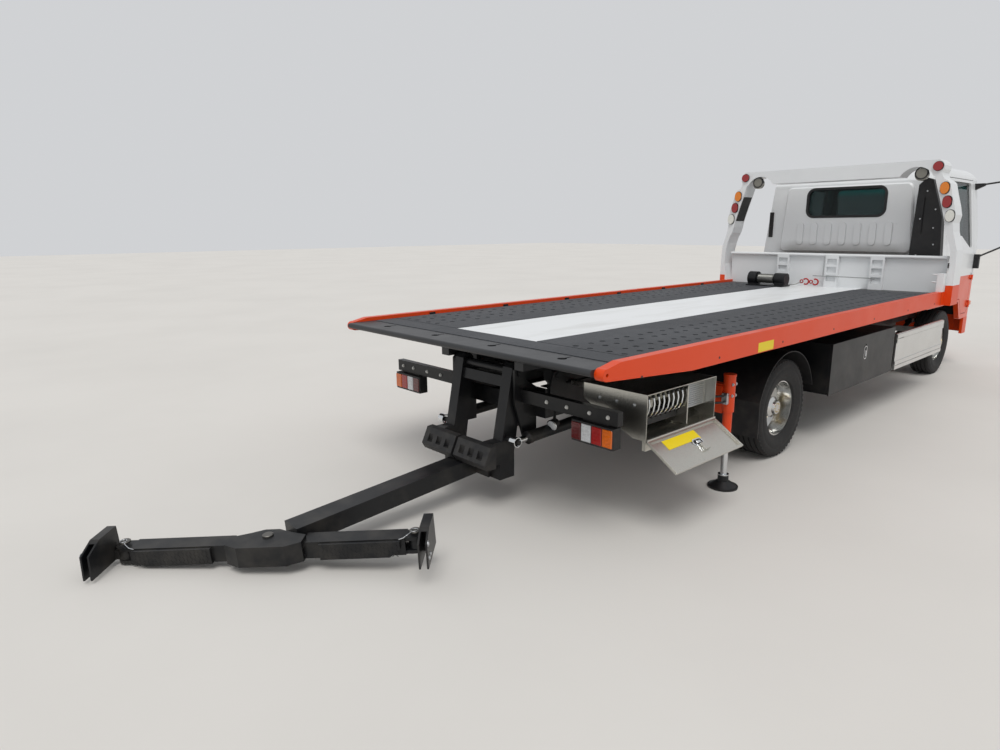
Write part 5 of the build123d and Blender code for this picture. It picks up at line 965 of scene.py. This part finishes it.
def add_winch_fittings():
    """Rope laid on the drum, and its free end with two red hooks."""
    steps = ROPE_TURNS * STEPS_PER_TURN
    path = []
    for step in range(steps):
        turn = 2 * pi * step / STEPS_PER_TURN
        path.append(at(DRUM_X + DRUM_RADIUS * cos(turn), DRUM_START + DRUM_WIDTH * step / steps,
                       DRUM_Z + DRUM_RADIUS * sin(turn)))
    place("winch_rope", Shape().tube(path, 0.0062, 7), "winch_drum", "wire_rope", "rod_chrome")
    for number, (y, turn) in enumerate(((0.205, 0), (0.09, 25))):
        hook = Shape()
        centre = at(3.178, y, 1.166)
        hook.tube(arc(centre, 0.034, 40 + turn, 300 + turn, 14), 0.009)
        eye = (centre[0], centre[1] + 0.051, centre[2])
        hook.tube(arc(eye, 0.018, 0, 360, 16)[:-1], 0.0065, 8, closed=True)
        place("rope_hook_%d" % number, hook, "bed", "hook_red", "orange_paint")
    route = [at(2.852, 0.46, 1.2), at(2.856, 0.45, 1.17), at(2.885, 0.43, 1.13),
             at(2.95, 0.405, 1.1225), at(3.06, 0.37, 1.1225), at(3.13, 0.325, 1.126),
             at(3.168, 0.28, 1.148), at(3.176, 0.262, 1.16)]
    hang("rope_end", route, 0.0055, "bed", "wire_rope", "rod_chrome")


def add_headboard_fittings():
    """A conduit along the headboard, and one that rises from it."""
    pipe = Shape()
    pipe.tube([at(3.21, 0.14, 1.238), at(3.206, -0.2, 1.24), at(3.206, -0.5, 1.238),
               at(3.21, -0.56, 1.235)], 0.0055, 8)
    pipe.tube([at(3.21, 0.02, 1.238), at(3.21, 0.02, 1.3), at(3.211, 0.02, 1.47)], 0.0045, 8)
    place("headboard_conduit", pipe, "bed", "cable_grey", "black_plastic")


# Cab

VENT_SLATS = row(13, 1.706, 0.0235)
DUCT_BOLTS = ((-1.0, 1.45), (-1.02, 1.62), (-1.0, 1.8), (-1.0, 2.0), (-0.86, 1.5), (-0.86, 1.9),
              (-0.9, 2.2))
GRILLE_SLATS = row(5, 0.80, 0.034)


def add_cab_rear():
    """The rear window's rubber, the side vent with its slats, and the intake's bolts."""
    rubber, vent, bolts = Shape(), Shape(), Shape()
    rubber.plate(rounded(0.468, 0.183, 0.098, 8), at(3.602, 0, 2.11), ACROSS, UPWARD, 0.03,
                 rounded(0.438, 0.153, 0.07, 8))
    place("rear_window_rubber", rubber, "cab", "black_plastic")
    vent.box(at(3.629, 0.895, 1.69), at(3.642, 0.95, 2.01), 0.006)
    for z in VENT_SLATS:
        vent.box(at(3.624, 0.9, z), at(3.632, 0.945, z + 0.01), 0.002)
    place("cab_side_vent", vent, "cab", "black_plastic")
    for y, z in DUCT_BOLTS:
        bolts.turned([(0.009, 0), (0.008, 0.003), (0.004, 0.0045)],
                     touch("intake_duct", at(3.2, y, z), FORWARD), REARWARD, 14)
    place("intake_bolts", bolts, "cab", "zinc", "rod_chrome")


def add_cab_sides():
    """Door handles on their plates, and the side marker lamps."""
    for name, side in NAMED_SIDES:
        body = "door_" + name
        inward = (0, -side, 0)
        handle, plate, lamp = Shape(), Shape(), Shape()
        x, y, _ = touch(body, at(4.27, side * 1.4, 1.36), inward)
        low, high = sorted((y, y + side * 0.004))
        plate.box((x - 0.085, low, 1.33), (x + 0.085, high, 1.39), 0.0012)
        handle.tube([(x + ahead, y + side * out, 1.362) for ahead, out in
                     ((-0.07, 0.002), (-0.06, 0.024), (0.06, 0.024), (0.07, 0.002))], 0.008)
        place("door_handle_" + name, handle, body, "black_plastic")
        place("handle_plate_" + name, plate, body, "black_plastic")
        x, y, _ = touch("cab_shell", at(5.389, side * 1.4, 0.828), inward)
        low, high = sorted((y - side * 0.002, y + side * 0.016))
        lamp.box((x - 0.035, low, 0.80), (x + 0.035, high, 0.856), 0.006)
        place("side_marker_" + name, lamp, "cab", "lamp_amber", "lamp_red")


def add_cab_front():
    """The grille's slats, and two wipers with their arms."""
    slats, wipers = Shape(), Shape()
    ahead = Vector(FORWARD)

    def on_front(node, y, z, out=0.0):
        return touch(node, at(6.2, y, z), REARWARD) + out * ahead

    for z in GRILLE_SLATS:
        x = on_front("cab_shell", 0.0, z).x
        slats.box((x - 0.002, -0.48, z - 0.008), (x + 0.007, 0.48, z + 0.008), 0.003)
    place("grille_slats", slats, "cab", "black_plastic")
    for side in SIDES:
        foot = on_front("cab_shell", side * 0.62, 1.37)
        tip = on_front("cab_glass", side * 0.1, 1.62)
        wipers.rod(foot - 0.004 * ahead, foot + 0.014 * ahead, 0.014, 14, 0.002)
        wipers.tube([foot + 0.012 * ahead, (foot + tip) / 2 + 0.02 * ahead, tip + 0.014 * ahead],
                    0.005, 8)
        ends = ((0.36, 1.5), (-0.14, 1.72))
        wipers.tube([on_front("cab_glass", side * y, z, 0.008) for y, z in ends], 0.006, 8)
    place("wipers", wipers, "cab", "black_plastic")


# Guards and tail

def add_guard_fittings():
    """Ribs along the rails of the side guards."""
    for name, side in reversed(NAMED_SIDES):
        ribs = Shape()
        low, high = span(side, 1.1875, 1.1899)
        for z in (0.437, 0.452, 0.467, 0.733, 0.748, 0.763):
            ribs.box(at(2.32, low, z - 0.004), at(3.64, high, z + 0.004), 0.0012)
        place("guard_ribs_" + name, ribs, "chassis", "guard_aluminium")


def add_tail_fittings():
    """Bolts along the tail beam."""
    bolts = Shape()
    for side in SIDES:
        starts = [at(-2.5, side * y, 0.748) for y in (0.55, 0.72, 0.9, 1.04)]
        bolt_down(bolts, "tail_frame", starts, REARWARD, 0.009, 0.008)
    place("tail_beam_bolts", bolts, "chassis", "white_bolt", "rod_chrome")


for add_fittings in (
        add_tyres, add_wheel_fittings, add_crossbar_fittings, add_fork_fittings, add_deck_fittings,
        add_rail_fittings, add_arch_rims, add_arch_band, add_work_lamp, add_rail_label,
        add_tail_lenses, add_toolbox_fittings, add_tray_fittings, add_side_box_fittings,
        add_stabiliser_fittings, add_winch_fittings, add_headboard_fittings, add_cab_rear,
        add_cab_sides, add_cab_front, add_guard_fittings, add_tail_fittings):
    add_fittings()


# Floor, light and camera

FLOOR_HALF = 60
SKY_COLOUR, SKY_STRENGTH = (0.96, 0.975, 1.0, 1), 0.66
SUN_COLOUR, SUN_STRENGTH, SUN_ANGLE = (1.0, 0.985, 0.96), 1.5, 0.55
SUN_WAY = (0.45, 0.42, -1.0)


def put(name, data):
    """A new object of the scene."""
    made = bpy.data.objects.new(name, data)
    bpy.context.scene.collection.objects.link(made)
    return made


def stage_floor():
    """A plain pale floor at ground level."""
    corners = [(x * FLOOR_HALF, y * FLOOR_HALF, 0) for x, y in ((-1, -1), (1, -1), (1, 1), (-1, 1))]
    mesh = bpy.data.meshes.new("floor")
    mesh.from_pydata(corners, [], [(0, 1, 2, 3)])
    floor = put("floor", mesh)
    ground = Finish("floor", (214, 211, 206), 0.85)
    ground.layer(ground.patches(0.4, 5, 0.4, 0.7), (206, 203, 198), 0.6)
    ground.relief(ground.noise(60, 3), 0.05, 0.002)
    mesh.materials.append(ground.material)


def light_stage():
    """An even sky and a soft sun from behind the camera's left shoulder."""
    world = bpy.data.worlds.new("studio")
    bpy.context.scene.world = world
    world.use_nodes = True
    background = world.node_tree.nodes["Background"]
    background.inputs["Color"].default_value = SKY_COLOUR
    background.inputs["Strength"].default_value = SKY_STRENGTH
    data = bpy.data.lights.new("sun", "SUN")
    data.energy = SUN_STRENGTH
    data.angle = SUN_ANGLE
    data.color = SUN_COLOUR
    put("sun", data).rotation_euler = Vector(SUN_WAY).to_track_quat("-Z", "Y").to_euler()


def aim_camera():
    """The photograph's camera: its own axes are right, up and away from the view."""
    forward = Vector((cos(PITCH) * cos(YAW), cos(PITCH) * sin(YAW), sin(PITCH)))
    level = Vector((sin(YAW), -cos(YAW), 0))
    upright = level.cross(forward)
    right = cos(ROLL) * level + sin(ROLL) * upright
    up = cos(ROLL) * upright - sin(ROLL) * level
    data = bpy.data.cameras.new("camera")
    data.sensor_width = SENSOR
    data.lens = FOCAL_PIXELS * SENSOR / PHOTO_WIDTH
    camera = put("camera", data)
    turn = Matrix((right, up, -forward)).transposed().to_4x4()
    spot = Vector(CAMERA_FROM_AXLE) + Vector((AXLE_X, 0, 0))
    camera.matrix_world = Matrix.Translation(spot) @ turn
    bpy.context.scene.camera = camera


stage_floor()
light_stage()
aim_camera()
bpy.context.scene.view_settings.view_transform = "Standard"
